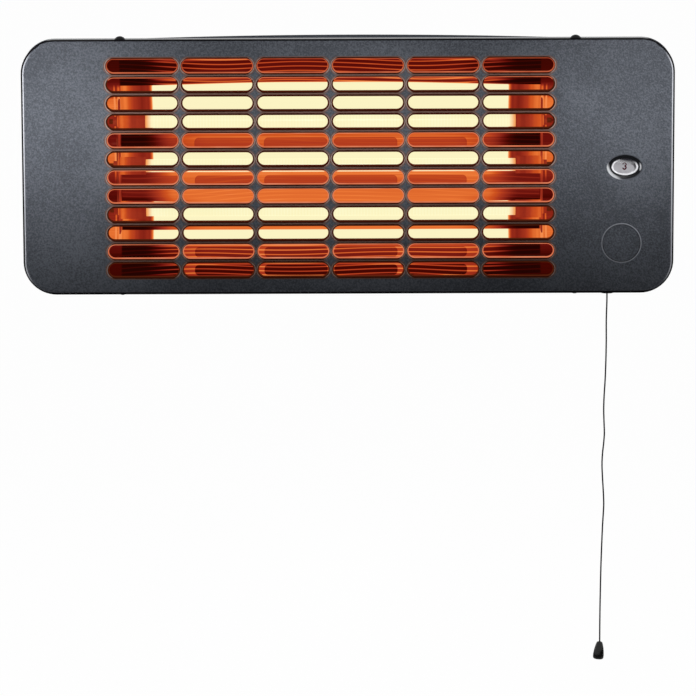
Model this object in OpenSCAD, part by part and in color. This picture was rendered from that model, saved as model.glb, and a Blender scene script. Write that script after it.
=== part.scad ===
// Patio heater for a wall: three quartz tubes behind a slotted steel cover,
// switched by a pull cord and tilted on a wall bracket.
// Origin: midway between the two wall screws, on the bracket's wall face.
// +X to the right seen from the front, +Y into the wall, +Z up, millimetres.

/* [Case] */
// Width of the front cover
case_w = 510; // [490:1:560]
// Height of the front cover
case_h = 200; // [194:1:220]
// Corner radius of the front cover
corner_r = 26; // [16:1:34]
// Depth of the cover's turned rim
rim_d = 22; // [20:1:26]
// Thickness of the cover and shell sheet
sheet_t = 1; // [0.8:0.1:1.4]
// Outside radius of the bend round the cover's face
bend_r = 4; // [2.5:0.5:5]
// Depth of the case at its two ends
shell_end_d = 37; // [36:1:42]
// Depth of the case at its bowed middle
shell_mid_d = 64; // [56:1:72]
// Half width of the bow in the rear shell
bow_half = 172; // [150:1:185]
// How far the rear shell stands in from the outside of the cover
shell_step = 2; // [1.8:0.1:3]
// Radius of the rear shell's upright back edges
shell_edge_r = 9; // [4:1:12]

/* [Grille] */
// Rows of slots
slot_rows = 12; // [8:1:12]
// Columns of slots
slot_cols = 6; // [4:1:6]
// Plain face between the case's left end and the grille
margin_left = 66.35; // [60:0.05:74]
// Plain face between the grille and the case's right end
margin_right = 93.75; // [90:0.05:100]
// Plain face above and below the grille
margin_top = 13.9; // [13:0.1:18]
// Metal between two slots side by side
bar_x = 2.3; // [2:0.1:4]
// Metal between two slots one above the other
bar_z = 3; // [2.6:0.1:5]
// Wall of the turned lip round each slot
lip_t = 0.8; // [0.5:0.1:1]
// Depth of the turned lip behind the sheet
lip_d = 2.2; // [1:0.1:3]

/* [Window] */
// Distance of the window's middle from the case's right end
window_in = 38.7; // [34:0.1:42]
// Width of the window's lens
lens_w = 21.5; // [18:0.5:24]
// Height of the window's lens
lens_h = 13.5; // [10:0.5:14]
// Flat of the dish showing round the lens
dish_edge = 2.5; // [2:0.5:4]
// Depth of the dish
dish_d = 2; // [1:0.5:2.5]
// Radius of the plain raised ring below the window
ring_r = 15.8; // [10:0.2:18]
// Place of the ring below the window
ring_drop = 60; // [52:1:62]
// Place of the ring to the left of the window's middle
ring_left = 2.4; // [0:0.2:6]
// Width of the ring's line
ring_line = 1.4; // [0.8:0.2:2]
// How far the ring stands proud of the face
ring_rise = 0.4; // [0.2:0.1:0.8]

/* [Tubes] */
// Spacing of the three tubes
tube_pitch = 35; // [34:0.5:38]
// Outside diameter of a quartz tube
tube_d = 10; // [9:0.5:11]
// Wall of a quartz tube
tube_wall = 1; // [0.8:0.1:1.5]
// How far the caps reach in from each end of the grille
cap_reach_in = 29.95; // [28:0.05:40]
// Depth of the tube axes behind the cover's face
tube_axis_d = 18; // [17:0.5:19]
// Side of a square ceramic end cap
cap_side = 13; // [12.5:0.5:16]
// Length of a ceramic end cap
cap_len = 20; // [16:1:22]
// How far a tube reaches into its cap
cap_grip = 8; // [5:1:10]

/* [Reflector] */
// Sheet thickness of the reflector
mirror_t = 0.6; // [0.5:0.1:0.8]
// Depth of the bottom of each trough
trough_d = 29; // [28:0.5:30]
// Depth of the ridges between the troughs
ridge_d = 21.5; // [20:0.5:23]
// Width of the flange that lies on the cover
mirror_flange = 6; // [5:0.2:6.2]

/* [Switch] */
// Radius at which the digits stand on the disc
digit_r = 17; // [16:0.5:18]
// Radius of the indicator disc
disc_r = 22; // [20.5:0.5:22]
// Height of a digit
digit_h = 6; // [5:0.5:7]
// Radius of the pull lever at its eye
lever_r = 13.4; // [12.5:0.1:14]
// Swing of the lever to each side of level
lever_swing = 25; // [15:1:25]
// Side of the square switch body
switch_side = 34; // [30:1:36]
// Radius of the switch shaft
shaft_r = 3; // [2.5:0.1:3.2]

/* [Pull cord] */
// Diameter of the cord
cord_d = 1.2; // [1:0.1:1.6]
// Length of the bell-shaped knob
knob_len = 14; // [10:1:18]
// Diameter of the knob at its mouth
knob_d = 8.6; // [7:0.2:11]

/* [Bracket] */
// Distance of the tilt axis from the wall
hinge_out = 31; // [31:1:36]
// Distance of the tilt axis behind the bowed shell
lug_reach = 12; // [12:0.5:16]
// Distance of each tilt lug's outer face from the middle
lug_x = 98; // [90:1:110]
// Thickness of the lugs
lug_t = 2; // [1.5:0.5:2.5]
// Thickness of the bracket
bracket_t = 2.5; // [2:0.5:3]
// Height of the bracket's wall plate
bracket_h = 40; // [34:1:50]
// Spacing of the two wall screws
wall_pitch = 140; // [120:1:160]
// Radius of the wall slots, half their width
wall_slot_r = 2.75; // [2.5:0.05:3]
// Overall length of a wall slot
wall_slot_len = 12; // [8:1:14]
// Radius of the tilt bolts
bolt_r = 3; // [2.5:0.5:3.5]

/* [Inlet] */
// Distance of the cable gland from the case's right end
gland_in = 24; // [23:0.5:25]
// Distance of the cable gland from the case's top
gland_down = 42; // [36:1:50]
// Radius of the gland's cable hole
gland_hole_r = 4; // [3:0.5:4.5]

/* [Hidden] */
$fn = 48;
// Clearance of pieces that are only laid together
gap = 0.3;
// Running clearance of a shaft in its hole
run = 0.06;

// Depths count from the cover's front face; dy turns one into a place along Y.
hinge_d = shell_mid_d + lug_reach;
front_y = -(hinge_d + hinge_out);
function dy(d) = front_y + d;

// Rear shell
bow_rise = shell_mid_d - shell_end_d;
bow_r = (bow_half * bow_half + bow_rise * bow_rise) / (2 * bow_rise);
bow_c = dy(shell_mid_d) - bow_r;
shell_front_d = rim_d - 10;
vent_in = 24;
vent_pitch = 24;
vent_w = 17;
vent_h = 4;
function bow_y(x) = bow_c + sqrt(bow_r * bow_r - x * x);

// Rim screws
rim_screw_in = 77;
rim_screw_x = case_w / 2 - rim_screw_in;
rim_screw_d = 16;
screw_r = 1.9;
screw_len = 9;
screw_head_r = 4.2;
screw_head_h = 2.3;
dome_r = (screw_head_r * screw_head_r + screw_head_h * screw_head_h) / (2 * screw_head_h);

// Grille
grille_w = case_w - margin_left - margin_right;
grille_h = case_h - 2 * margin_top;
grille_x = (margin_left - margin_right) / 2;
slot_pitch_x = (grille_w + bar_x) / slot_cols;
slot_pitch_z = (grille_h + bar_z) / slot_rows;
slot_w = slot_pitch_x - bar_x;
slot_h = slot_pitch_z - bar_z;
lip_back_d = sheet_t + lip_d;

// Reflector
mirror_edge = 1.5 * tube_pitch;
mirror_half = grille_h / 2 + lip_t + 2 * gap;
side_d = lip_back_d + 0.8;
mirror_slope = (mirror_half - mirror_edge) / (ridge_d - side_d);
mirror_skew = sqrt(1 + mirror_slope * mirror_slope);
trough_rise = trough_d - ridge_d;
trough_r = (pow(tube_pitch / 2, 2) + pow(trough_rise, 2)) / (2 * trough_rise);
mirror_len = grille_w + 6;
mirror_lap = 0.3;
stud_r = 1.9;
stud_z = mirror_half + 4.2;
stud_len = 8;
nut_t = 2.4;
nut_r = 3.6;

// Tubes and caps
tube_r = tube_d / 2;
coil_r = tube_r - tube_wall - gap;
cap_in = grille_w / 2 - cap_reach_in;
cap_out = cap_in + cap_len;
stud_x = cap_in + 5;
spigot_r = 4;
support_t = 1;
pin_r = 2;
pin_end = cap_out + support_t + 7.4;
link_t = 0.8;
link_in = cap_out + support_t + 1;

// Switch, with its axis below the window so that a digit stands behind the lens
window_x = case_w / 2 - window_in;
axis_x = window_x;
axis_z = -digit_r;
dish_back_d = dish_d + sheet_t;
lens_flange_t = 1.2;
lens_flange = 1.5;
disc_d = dish_back_d + lens_flange_t + 2.3;
disc_t = 1.5;
digit_rise = 0.3;
ratchet_d = disc_d + disc_t;
ratchet_t = 3;
lever_d = ratchet_d + ratchet_t + gap;
lever_t = 2.5;
spring_d = lever_d + lever_t + gap;
spring_t = 3;
lid_d = spring_d + spring_t + gap;
lid_t = 1.5;
body_d = lid_d + lid_t;
body_back_d = min(body_d + 14, shell_end_d - sheet_t - 1.5);
post_x = 27;
post_r = 3.5;
post_screw_r = 1.4;
post_screw_len = 6;
post_screw_head_r = 2.8;
post_screw_head_t = 2;
contact_t = 0.8;
contact_w = 4.8;
contact_up = 12;
contact_pitch = 8;

// Pull cord
cord_r = cord_d / 2;
eye_far = lever_r;
eye_near = lever_r * cos(lever_swing);
cord_x = axis_x - (eye_far + eye_near) / 2;
cord_y = dy(lever_d + lever_t / 2);
pull = 2 * lever_r * sin(lever_swing);
eye_t = 3;
eye_side = 8;
eye_hole_r = cord_r + (eye_far - eye_near) / 2 + eye_t / 2 * tan(lever_swing) + 0.25;
bead_r = 3.4;
bead_up = (bead_r + gap + eye_t / 2 + 0.25) / cos(lever_swing);
bead_z = axis_z + lever_r * sin(lever_swing) + bead_up;
bush_flange_t = 1.2;
bush_neck_r = 3.2;
bush_bore_r = cord_r + gap;
exit_z = -case_h / 2 - bush_flange_t;
swing_z = exit_z - 0.5;

// Free cord, each point as its distance from the cord's way out
route = [
    [0, 0, 0], [0, 0, -6], [-0.4, 0, -22], [-0.3, 0.2, -38], [-0.5, 0.4, -54],
    [-1, 0.6, -70], [-1.7, 0.5, -82], [-2, 0.2, -93], [-1.7, -0.2, -103.5],
    [-1.4, -0.5, -112], [-1.9, -0.6, -120], [-2.8, -0.4, -129], [-3.1, 0, -138],
    [-2.6, 0.4, -148.5], [-1.9, 0.6, -159.5], [-1.5, 0.5, -169.5], [-1.9, 0.2, -178.5],
    [-2.4, 0, -187.5], [-3, -0.2, -203.5], [-3.5, -0.3, -220.5], [-3.8, -0.2, -238],
    [-4, 0, -254], [-4.1, 0, -269.5], [-4.1, 0, -281.4]
];
route_steps = 3;
cord_sides = 8;
knob_at = route[len(route) - 1];
knob_lean = 5;

// Wall bracket
ear_x = lug_x + gap;
ear_r = 9;
ear_out = ear_x + bracket_t;
washer_t = 1.5;
washer_r = 8;
knob_in = ear_out + washer_t + gap;
knob_hub = 10;
hub_r = 8;
wing_r = 16;
wing_t = 4;
bolt_head_t = 4;
bolt_head = 2.8;
bolt_past = 3;

// Gland
gland_x = case_w / 2 - gland_in;
gland_z = case_h / 2 - gland_down;
gland_af_r = 12;
gland_neck_r = 8;
gland_len = 20;
gland_hex_t = 6;
gland_neck_len = 12;
gland_nut_at = 13;
gland_seal_t = 1.9;
locknut_t = 4;

// Lug feet and rivets
rivet_r = 2;
foot_w = 16;
foot_z = 22;
rivet_z = 15;
rivet_x = lug_x - foot_w / 2 - 1;

// Terminal block and leads
block_w = 40;
block_h = 18;
block_t = 13;
block_x = gland_x - 33;
block_z = gland_z + 14;
block_back_d = shell_end_d - sheet_t;
block_wire_d = block_back_d - 5;
way_pitch = 12.5;
way_end_z = block_z - block_h / 2 + 4;
earth_z = block_z - block_h / 2 - 14;
way_hole_r = 1.8;
way_screw_r = 2.7;
way_screw_len = 4.9;
earth_eye_r = 6;
earth_post_r = 2;
earth_spacer_r = 4;
earth_nut_t = 2.4;
wire_r = 1.1;
wire_sides = 12;
contact_x = axis_x + switch_side / 2 + 7;
contact_d = body_d + 6.4;
lead_first = 1.8;
lead_pitch = 2.6;
lead_out = [for (k = [3 : -1 : 0]) lead_first + k * lead_pitch];
lead_ahead = 3.5;
lead_behind = 2.9;
lead_d = [contact_d - lead_ahead, contact_d + lead_behind, contact_d, block_wire_d];
lead_over = 9;
lead_under = 8;
lead_step = 5;
supply_over = 26;
lead_z = [
    axis_z + switch_side / 2 + lead_over + lead_step,
    axis_z + switch_side / 2 + lead_over,
    axis_z - switch_side / 2 - lead_under,
    axis_z + switch_side / 2 + supply_over
];
lane_in = 6;
return_in = 5;
lane_x = grille_x + mirror_len / 2 + lane_in;

// A flat outline, drawn as seen from the front, made into a slab between two depths
module slab(d_front, d_back) {
    translate([0, dy(d_back), 0]) rotate([90, 0, 0])
        linear_extrude(d_back - d_front) children();
}

// A section drawn as (Y, Z) and run along X between two places
module along_x(x0, x1) {
    translate([x0, 0, 0]) rotate([90, 0, 90]) linear_extrude(x1 - x0) children();
}

module rod_x(x0, x1, r) {
    translate([x0, 0, 0]) rotate([0, 90, 0]) cylinder(h = x1 - x0, r = r);
}

// A rod that runs back from the front between two depths
module rod_y(d_front, d_back, r) {
    translate([0, dy(d_back), 0]) rotate([90, 0, 0])
        cylinder(h = d_back - d_front, r = r);
}

module rounded_plate(w, h, r) {
    square([w - 2 * r, h], center = true);
    square([w, h - 2 * r], center = true);
    for (x = [-1, 1], z = [-1, 1])
        translate([x * (w / 2 - r), z * (h / 2 - r)]) circle(r);
}

module slot_shape(w, h) {
    square([w - h, h], center = true);
    for (x = [-1, 1]) translate([x * (w - h) / 2, 0]) circle(h / 2);
}

module oval(w, h) {
    scale([1, h / w]) circle(w / 2);
}

module slot_field(grow) {
    for (c = [0 : slot_cols - 1], r = [0 : slot_rows - 1])
        translate([
            grille_x + (c - (slot_cols - 1) / 2) * slot_pitch_x,
            (r - (slot_rows - 1) / 2) * slot_pitch_z
        ])
            slot_shape(slot_w + 2 * grow, slot_h + 2 * grow);
}

// Section of the cover's rim: a bend, then a leg that runs back
module rim_section() {
    translate([0, rim_d - bend_r]) intersection() {
        difference() {
            circle(bend_r);
            circle(bend_r - sheet_t);
        }
        square(bend_r);
    }
    translate([bend_r - sheet_t, 0]) square([sheet_t, rim_d - bend_r]);
}

module rim_side(turn, length, out) {
    rotate([0, 0, turn]) translate([0, out - bend_r, 0]) rotate([90, 0, 90])
        linear_extrude(length, center = true) rim_section();
}

module rim_corner(turn, x, z) {
    translate([x, z, 0]) rotate([0, 0, turn]) rotate_extrude(angle = 90)
        translate([corner_r - bend_r, 0]) rim_section();
}

module cover_tray() {
    corner_x = case_w / 2 - corner_r;
    corner_z = case_h / 2 - corner_r;
    translate([0, dy(rim_d), 0]) rotate([90, 0, 0]) {
        translate([0, 0, rim_d - sheet_t]) linear_extrude(sheet_t)
            rounded_plate(case_w - 2 * bend_r, case_h - 2 * bend_r, corner_r - bend_r);
        rim_side(0, 2 * corner_x, case_h / 2);
        rim_side(180, 2 * corner_x, case_h / 2);
        rim_side(90, 2 * corner_z, case_w / 2);
        rim_side(270, 2 * corner_z, case_w / 2);
        rim_corner(0, corner_x, corner_z);
        rim_corner(90, -corner_x, corner_z);
        rim_corner(180, -corner_x, -corner_z);
        rim_corner(270, corner_x, -corner_z);
    }
}

module rim_screw_holes(r) {
    for (x = [-1, 1]) translate([x * rim_screw_x, dy(rim_screw_d), -case_h / 2 - 1])
        cylinder(h = case_h + 2, r = r);
}

module front_cover() color("#4a4e55") {
    dish_w = lens_w + 2 * dish_edge;
    dish_h = lens_h + 2 * dish_edge;
    difference() {
        union() {
            cover_tray();
            slab(sheet_t / 2, lip_back_d) slot_field(lip_t);
            slab(sheet_t / 2, dish_back_d) translate([window_x, 0])
                oval(dish_w + 2 * sheet_t, dish_h + 2 * sheet_t);
            slab(-ring_rise, sheet_t / 2) translate([window_x - ring_left, -ring_drop])
                difference() {
                    circle(ring_r);
                    circle(ring_r - ring_line);
                }
        }
        slab(-1, lip_back_d + 1) slot_field(0);
        slab(-1, dish_d) translate([window_x, 0]) oval(dish_w, dish_h);
        slab(-1, dish_back_d + 1) translate([window_x, 0])
            oval(lens_w + gap, lens_h + gap);
        rim_screw_holes(screw_r + 0.1);
        translate([cord_x, cord_y, -case_h / 2 - 1])
            cylinder(h = sheet_t + 3, r = bush_neck_r + 0.1);
    }
}

// Plan of the rear shell: a flat box with the bow on its back, drawn in from the outside
module shell_plan(inset, d_front) {
    half = case_w / 2 - shell_step - inset;
    back = dy(shell_end_d - inset);
    edge_r = shell_edge_r - inset;
    translate([-half, dy(d_front)])
        square([2 * half, shell_end_d - inset - edge_r - d_front]);
    translate([-half + edge_r, dy(d_front)])
        square([2 * (half - edge_r), shell_end_d - inset - d_front]);
    for (x = [-1, 1]) translate([x * (half - edge_r), back - edge_r]) circle(edge_r);
    intersection() {
        translate([0, bow_c]) circle(bow_r - inset, $fn = 240);
        translate([-bow_half - 10, back - 5])
            square([2 * bow_half + 20, bow_rise + 20]);
    }
}

module shell_solid(inset, d_front) {
    intersection() {
        translate([0, 0, -case_h / 2]) linear_extrude(case_h)
            shell_plan(inset, d_front);
        slab(d_front, shell_mid_d + 1) rounded_plate(
            case_w - 2 * (shell_step + inset),
            case_h - 2 * (shell_step + inset),
            corner_r - shell_step - inset
        );
    }
}

module rear_shell() color("#3b3e44") {
    band_in = sheet_t + gap;
    vent_z = case_h / 2 - vent_in;
    difference() {
        union() {
            shell_solid(0, shell_front_d);
            slab(shell_front_d, rim_d - 1) rounded_plate(
                case_w - 2 * band_in, case_h - 2 * band_in, corner_r - band_in
            );
        }
        shell_solid(sheet_t, shell_front_d - 1);
        rim_screw_holes(screw_r + 0.1);
        slab(shell_end_d, shell_mid_d + 1) for (x = [-5 : 5], z = [-vent_z, vent_z])
            translate([x * vent_pitch, z]) slot_shape(vent_w, vent_h);
        translate([gland_x, 0, gland_z]) rod_y(shell_end_d - 5, shell_end_d + 5, gland_neck_r + 0.1);
        translate([cord_x, cord_y, -case_h / 2 - 1])
            cylinder(h = 10, r = bush_neck_r + 0.8 + gap);
        for (s = [-1, 1]) lug_rivet_places(s) rivet_rod(-5, 5, rivet_r + 0.05);
    }
}

module rim_screws() color("#1b1c1e") {
    for (x = [-1, 1], z = [0, 1])
        translate([x * rim_screw_x, dy(rim_screw_d), 0]) mirror([0, 0, z])
        translate([0, 0, case_h / 2]) {
            translate([0, 0, -screw_len]) cylinder(h = screw_len + 0.2, r = screw_r);
            intersection() {
                translate([0, 0, screw_head_h - dome_r]) sphere(dome_r);
                cylinder(h = screw_head_h, r = screw_head_r);
            }
        }
}

module stud_places() {
    for (x = [-1, 1], z = [-1, 1])
        translate([grille_x + x * stud_x, 0, z * stud_z]) children();
}

module cover_studs() color("#b9bcc0") {
    stud_places() rod_y(sheet_t, sheet_t + stud_len, stud_r);
}

module reflector_nuts() color("#c9ccd0") {
    nut_front = sheet_t + mirror_t;
    stud_places() difference() {
        translate([0, dy(nut_front + nut_t), 0]) rotate([90, 0, 0])
            cylinder(h = nut_t, r = nut_r, $fn = 6);
        rod_y(nut_front - 1, nut_front + nut_t + 1, stud_r + run);
    }
}

// One trough's part of a circle, drawn as (Y, Z)
module trough_window(n, r, half) {
    intersection() {
        translate([dy(trough_d) - trough_r, n * tube_pitch]) circle(r, $fn = 180);
        translate([dy(ridge_d - 6), n * tube_pitch - half]) square([trough_d, 2 * half]);
    }
}

// Depth at which a side turns from straight to sloping, on a surface moved out by grow
function side_bend(grow) = side_d + grow * (mirror_skew - 1) / mirror_slope;

// Filling of the reflector's section between two places, made larger by grow
// and kept off the ridges by tuck
module mirror_fill(x0, x1, grow, tuck = 0) {
    open = mirror_half + grow;
    edge = mirror_edge + grow * mirror_skew;
    along_x(x0, x1) polygon([
        [dy(sheet_t), -open], [dy(sheet_t), open], [dy(side_bend(grow)), open],
        [dy(ridge_d - tuck), edge], [dy(ridge_d - tuck), -edge],
        [dy(side_bend(grow)), -open]
    ]);
    for (n = [-1 : 1]) along_x(x0, x1)
        trough_window(n, trough_r + grow, tube_pitch / 2 - tuck + max(grow, 0) * mirror_skew);
}

// Bent sheet: three troughs, a sloping side above and below, and two flanges
module reflector() color("#d9d3c4") {
    x0 = grille_x - mirror_len / 2;
    x1 = grille_x + mirror_len / 2;
    past = ridge_d + 0.2;
    past_z = mirror_edge - 0.2 * mirror_slope;
    difference() {
        union() {
            for (n = [-1 : 1]) along_x(x0, x1) difference() {
                trough_window(n, trough_r + mirror_t, tube_pitch / 2 + mirror_lap);
                translate([dy(trough_d) - trough_r, n * tube_pitch])
                    circle(trough_r, $fn = 180);
            }
            for (z = [-1, 1]) along_x(x0, x1) polygon([
                [dy(sheet_t), z * mirror_half], [dy(side_d), z * mirror_half],
                [dy(past), z * past_z], [dy(past), z * (past_z + mirror_t * mirror_skew)],
                [dy(side_bend(mirror_t)), z * (mirror_half + mirror_t)],
                [dy(sheet_t), z * (mirror_half + mirror_t)]
            ]);
            for (z = [-mirror_half - mirror_flange, mirror_half]) along_x(x0, x1)
                translate([dy(sheet_t), z]) square([mirror_t, mirror_flange]);
        }
        stud_places() rod_y(0, stud_len, stud_r + 0.2);
    }
}

// A plate across one end of the reflector
module reflector_end(s) color("#d9d3c4") {
    x0 = grille_x + (s > 0 ? mirror_len / 2 : -mirror_len / 2 - mirror_t);
    difference() {
        mirror_fill(x0, x0 + mirror_t, mirror_t);
        for (n = [-1 : 1]) translate([0, dy(tube_axis_d), n * tube_pitch])
            rod_x(-case_w, case_w, 4);
        if (s < 0) translate([0, dy(tube_axis_d), tube_pitch / 2])
            rod_x(-case_w, case_w, 2.2);
    }
}
module reflector_end_left() reflector_end(-1);
module reflector_end_right() reflector_end(1);

module tube_place(n) {
    translate([grille_x, dy(tube_axis_d), (1 - n) * tube_pitch]) children();
}

module quartz_tube(n) color("#ffe9b0") {
    reach = cap_in + cap_grip;
    tube_place(n) difference() {
        rod_x(-reach, reach, tube_r);
        rod_x(-reach - 1, reach + 1, tube_r - tube_wall);
    }
}
module quartz_tube_top() quartz_tube(0);
module quartz_tube_middle() quartz_tube(1);
module quartz_tube_bottom() quartz_tube(2);

// The wound wire inside one tube, as wide as its turns, with a pin at each end
module heating_coil(n) color("#ff8a2a") {
    reach = cap_in + cap_grip - 1;
    tube_place(n) {
        rod_x(-reach, reach, coil_r);
        rod_x(-pin_end, pin_end, pin_r);
    }
}
module heating_coil_top() heating_coil(0);
module heating_coil_middle() heating_coil(1);
module heating_coil_bottom() heating_coil(2);

// A square ceramic cap with a socket for the tube and a spigot behind it
module end_cap(n, s) color("#b8603a") {
    tube_place(n) mirror([s < 0 ? 1 : 0, 0, 0]) difference() {
        union() {
            translate([cap_in, 0, 0]) rotate([90, 0, 90])
                linear_extrude(cap_len) rounded_plate(cap_side, cap_side, 2.5);
            rod_x(cap_out, cap_out + support_t + 1, spigot_r);
        }
        rod_x(cap_in - 1, cap_in + cap_grip + 0.2, tube_r + 0.1);
        rod_x(cap_in, cap_out + 5, pin_r + 0.1);
    }
}
module end_cap_top_left() end_cap(0, -1);
module end_cap_top_right() end_cap(0, 1);
module end_cap_middle_left() end_cap(1, -1);
module end_cap_middle_right() end_cap(1, 1);
module end_cap_bottom_left() end_cap(2, -1);
module end_cap_bottom_right() end_cap(2, 1);

// Upright sheet that carries the three caps of one side on its holes
module tube_support(s) color("#c3bda9") {
    x0 = grille_x + (s > 0 ? cap_out : -cap_out - support_t);
    difference() {
        intersection() {
            mirror_fill(x0, x0 + support_t, -0.1, mirror_lap + 0.15);
            translate([x0 - 1, dy(7), -mirror_edge])
                cube([support_t + 2, trough_d, 2 * mirror_edge]);
        }
        for (n = [0 : 2]) tube_place(n) rod_x(-case_w, case_w, spigot_r + 0.1);
    }
}
module tube_support_left() tube_support(-1);
module tube_support_right() tube_support(1);

module terminal_nuts() color("#d8b25c") {
    for (n = [0 : 2], s = [-1, 1]) tube_place(n) mirror([s < 0 ? 1 : 0, 0, 0])
        translate([link_in + (s < 0 ? link_t : 0), 0, 0]) rotate([0, 90, 0]) difference() {
            cylinder(h = 2.6, r = 3.8, $fn = 6);
            translate([0, 0, -1]) cylinder(h = 5, r = pin_r + run);
        }
}

// Strip that joins the three pins on the left
module link_strip() color("#c8a24e") {
    x1 = grille_x - link_in;
    difference() {
        along_x(x1 - link_t, x1) translate([dy(tube_axis_d), 0])
            square([6, 2 * tube_pitch + 10], center = true);
        for (n = [0 : 2]) tube_place(n) rod_x(-case_w, case_w, pin_r + 0.1);
    }
}

module window_lens() color("#e6e9ee") {
    lens_front = 0.8;
    slab(lens_front, dish_back_d) translate([window_x, 0]) oval(lens_w, lens_h);
    slab(dish_back_d, dish_back_d + lens_flange_t) translate([window_x, 0])
        oval(lens_w + 2 * lens_flange, lens_h + 2 * lens_flange);
}

// Push-on ring that keeps the lens in the dish
module lens_retainer() color("#2a2c30") {
    slab(dish_back_d, dish_back_d + lens_flange_t + 0.8) translate([window_x, 0])
        difference() {
            oval(lens_w + 4 * lens_flange, lens_h + 4 * lens_flange);
            oval(lens_w + 2 * lens_flange + gap, lens_h + 2 * lens_flange + gap);
        }
}

// Strokes for the digits, drawn as seen from the front
module stroke(x, z, w, h) {
    translate([x - w / 2, z - h / 2]) square([w, h]);
}

module digit(n) {
    line = digit_h / 6;
    r = (digit_h + line) / 4;
    half = digit_h / 2;
    if (n == 0) difference() {
        slot_turned(2 * r, digit_h);
        slot_turned(2 * r - 2 * line, digit_h - 2 * line);
    }
    if (n == 1) stroke(0, 0, line * 1.2, digit_h);
    if (n == 2) {
        difference() {
            translate([0, half - r]) circle(r);
            translate([0, half - r]) circle(r - line);
            translate([-2 * r, half - 3 * r]) square([4 * r, 2 * r]);
        }
        polygon([
            [r - line, half - r], [r, half - r],
            [-r + 1.3 * line, -half], [-r, -half]
        ]);
        stroke(0, -half + line / 2, 2 * r, line);
    }
    if (n == 3) for (z = [-1, 1]) translate([0, z * (half - r)]) difference() {
        circle(r);
        circle(r - line);
        translate([-2 * r, z > 0 ? -2 * r : 0]) square([2 * r, 2 * r]);
    }
}

module slot_turned(w, h) {
    rotate(90) slot_shape(h, w);
}

// White disc with 0 to 3 twice round, and 3 behind the lens at rest
module indicator_disc() color("#eceae4") {
    translate([axis_x, 0, axis_z]) {
        difference() {
            rod_y(disc_d, disc_d + disc_t, disc_r);
            rod_y(disc_d - 1, disc_d + disc_t + 1, shaft_r + 0.1);
        }
        slab(disc_d - digit_rise, disc_d + disc_t / 2) for (n = [0 : 7])
            rotate(45 * n) translate([0, digit_r]) digit((n + 3) % 4);
    }
}

module ratchet_wheel() color("#d8d2c2") {
    tooth_r = 8.4;
    translate([axis_x, 0, axis_z]) difference() {
        slab(ratchet_d, ratchet_d + ratchet_t) {
            circle(tooth_r - 1.4);
            for (n = [0 : 7]) rotate(45 * n)
                polygon([[0, 0], [tooth_r, 0], [(tooth_r - 1.6) * cos(42), (tooth_r - 1.6) * sin(42)]]);
        }
        rod_y(ratchet_d - 1, ratchet_d + ratchet_t + 1, shaft_r + 0.1);
    }
}

// Shaft with the switching cam on its rear half
module switch_shaft() color("#c9c4b5") {
    translate([axis_x, 0, axis_z]) {
        rod_y(disc_d, body_back_d - 2.3, shaft_r);
        rod_y(body_d + 1, body_back_d - 3.3, 8);
    }
}

// Lever drawn level and turned up to its rest, with an eye block for the cord
module pull_lever() color("#8c2f2a") {
    translate([axis_x, 0, axis_z]) rotate([0, lever_swing, 0]) difference() {
        union() {
            rod_y(lever_d, lever_d + lever_t, shaft_r + 3.2);
            slab(lever_d, lever_d + lever_t)
                translate([-lever_r, -eye_t / 2]) square([lever_r, eye_t]);
            translate([-lever_r, cord_y, 0])
                cube([eye_side, eye_side, eye_t], center = true);
        }
        rod_y(lever_d - 1, lever_d + lever_t + 1, shaft_r + run);
        translate([-lever_r, cord_y, -eye_t]) cylinder(h = 2 * eye_t, r = eye_hole_r);
    }
}

module return_spring() color("#9aa0a6") {
    translate([axis_x, 0, axis_z]) difference() {
        rod_y(spring_d, spring_d + spring_t, shaft_r + 2.8);
        rod_y(spring_d - 1, spring_d + spring_t + 1, shaft_r + gap);
    }
}

module post_places() {
    for (x = [-1, 1]) translate([axis_x + x * post_x, 0, axis_z]) children();
}

module switch_lid() color("#e0dccf") {
    difference() {
        slab(lid_d, lid_d + lid_t) translate([axis_x, axis_z]) {
            rounded_plate(switch_side, switch_side, 3);
            slot_shape(2 * (post_x + 5), 10);
        }
        translate([axis_x, 0, axis_z]) rod_y(lid_d - 1, lid_d + lid_t + 1, shaft_r + run);
        post_places() rod_y(lid_d - 1, lid_d + lid_t + 1, post_screw_r + 0.2);
    }
}

module switch_body() color("#d6d1c2") {
    translate([axis_x, 0, axis_z]) difference() {
        slab(body_d, body_back_d) rounded_plate(switch_side, switch_side, 3);
        rod_y(body_d - 1, body_back_d - 2, 11);
    }
}

module switch_contacts() color("#c8a24e") {
    for (k = [0 : 3]) translate([axis_x + switch_side / 2, dy(contact_d), contact_z(k)])
        translate([0, -contact_t / 2, -contact_w / 2])
            cube([contact_x - axis_x - switch_side / 2, contact_t, contact_w]);
}

module switch_posts() color("#b9bcc0") {
    post_places() difference() {
        rod_y(sheet_t, lid_d, post_r);
        rod_y(lid_d - post_screw_len - 2, lid_d + 1, post_screw_r + 0.1);
    }
}

module switch_screws() color("#c9ccd0") {
    post_places() {
        rod_y(lid_d - post_screw_len, lid_d + lid_t + 0.2, post_screw_r);
        rod_y(lid_d + lid_t, lid_d + lid_t + post_screw_head_t, post_screw_head_r);
    }
}

// Plastic bush that lines the cord's way out through the rim
module cord_bush() color("#1b1c1e") {
    translate([cord_x, cord_y, exit_z]) difference() {
        union() {
            cylinder(h = bush_flange_t, r = bush_neck_r + 1.8);
            cylinder(h = bush_flange_t + sheet_t + 2.2, r = bush_neck_r);
            translate([0, 0, bush_flange_t + sheet_t]) cylinder(h = 1, r = bush_neck_r + 0.8);
        }
        translate([0, 0, -1]) cylinder(h = 10, r = bush_bore_r);
    }
}

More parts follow.
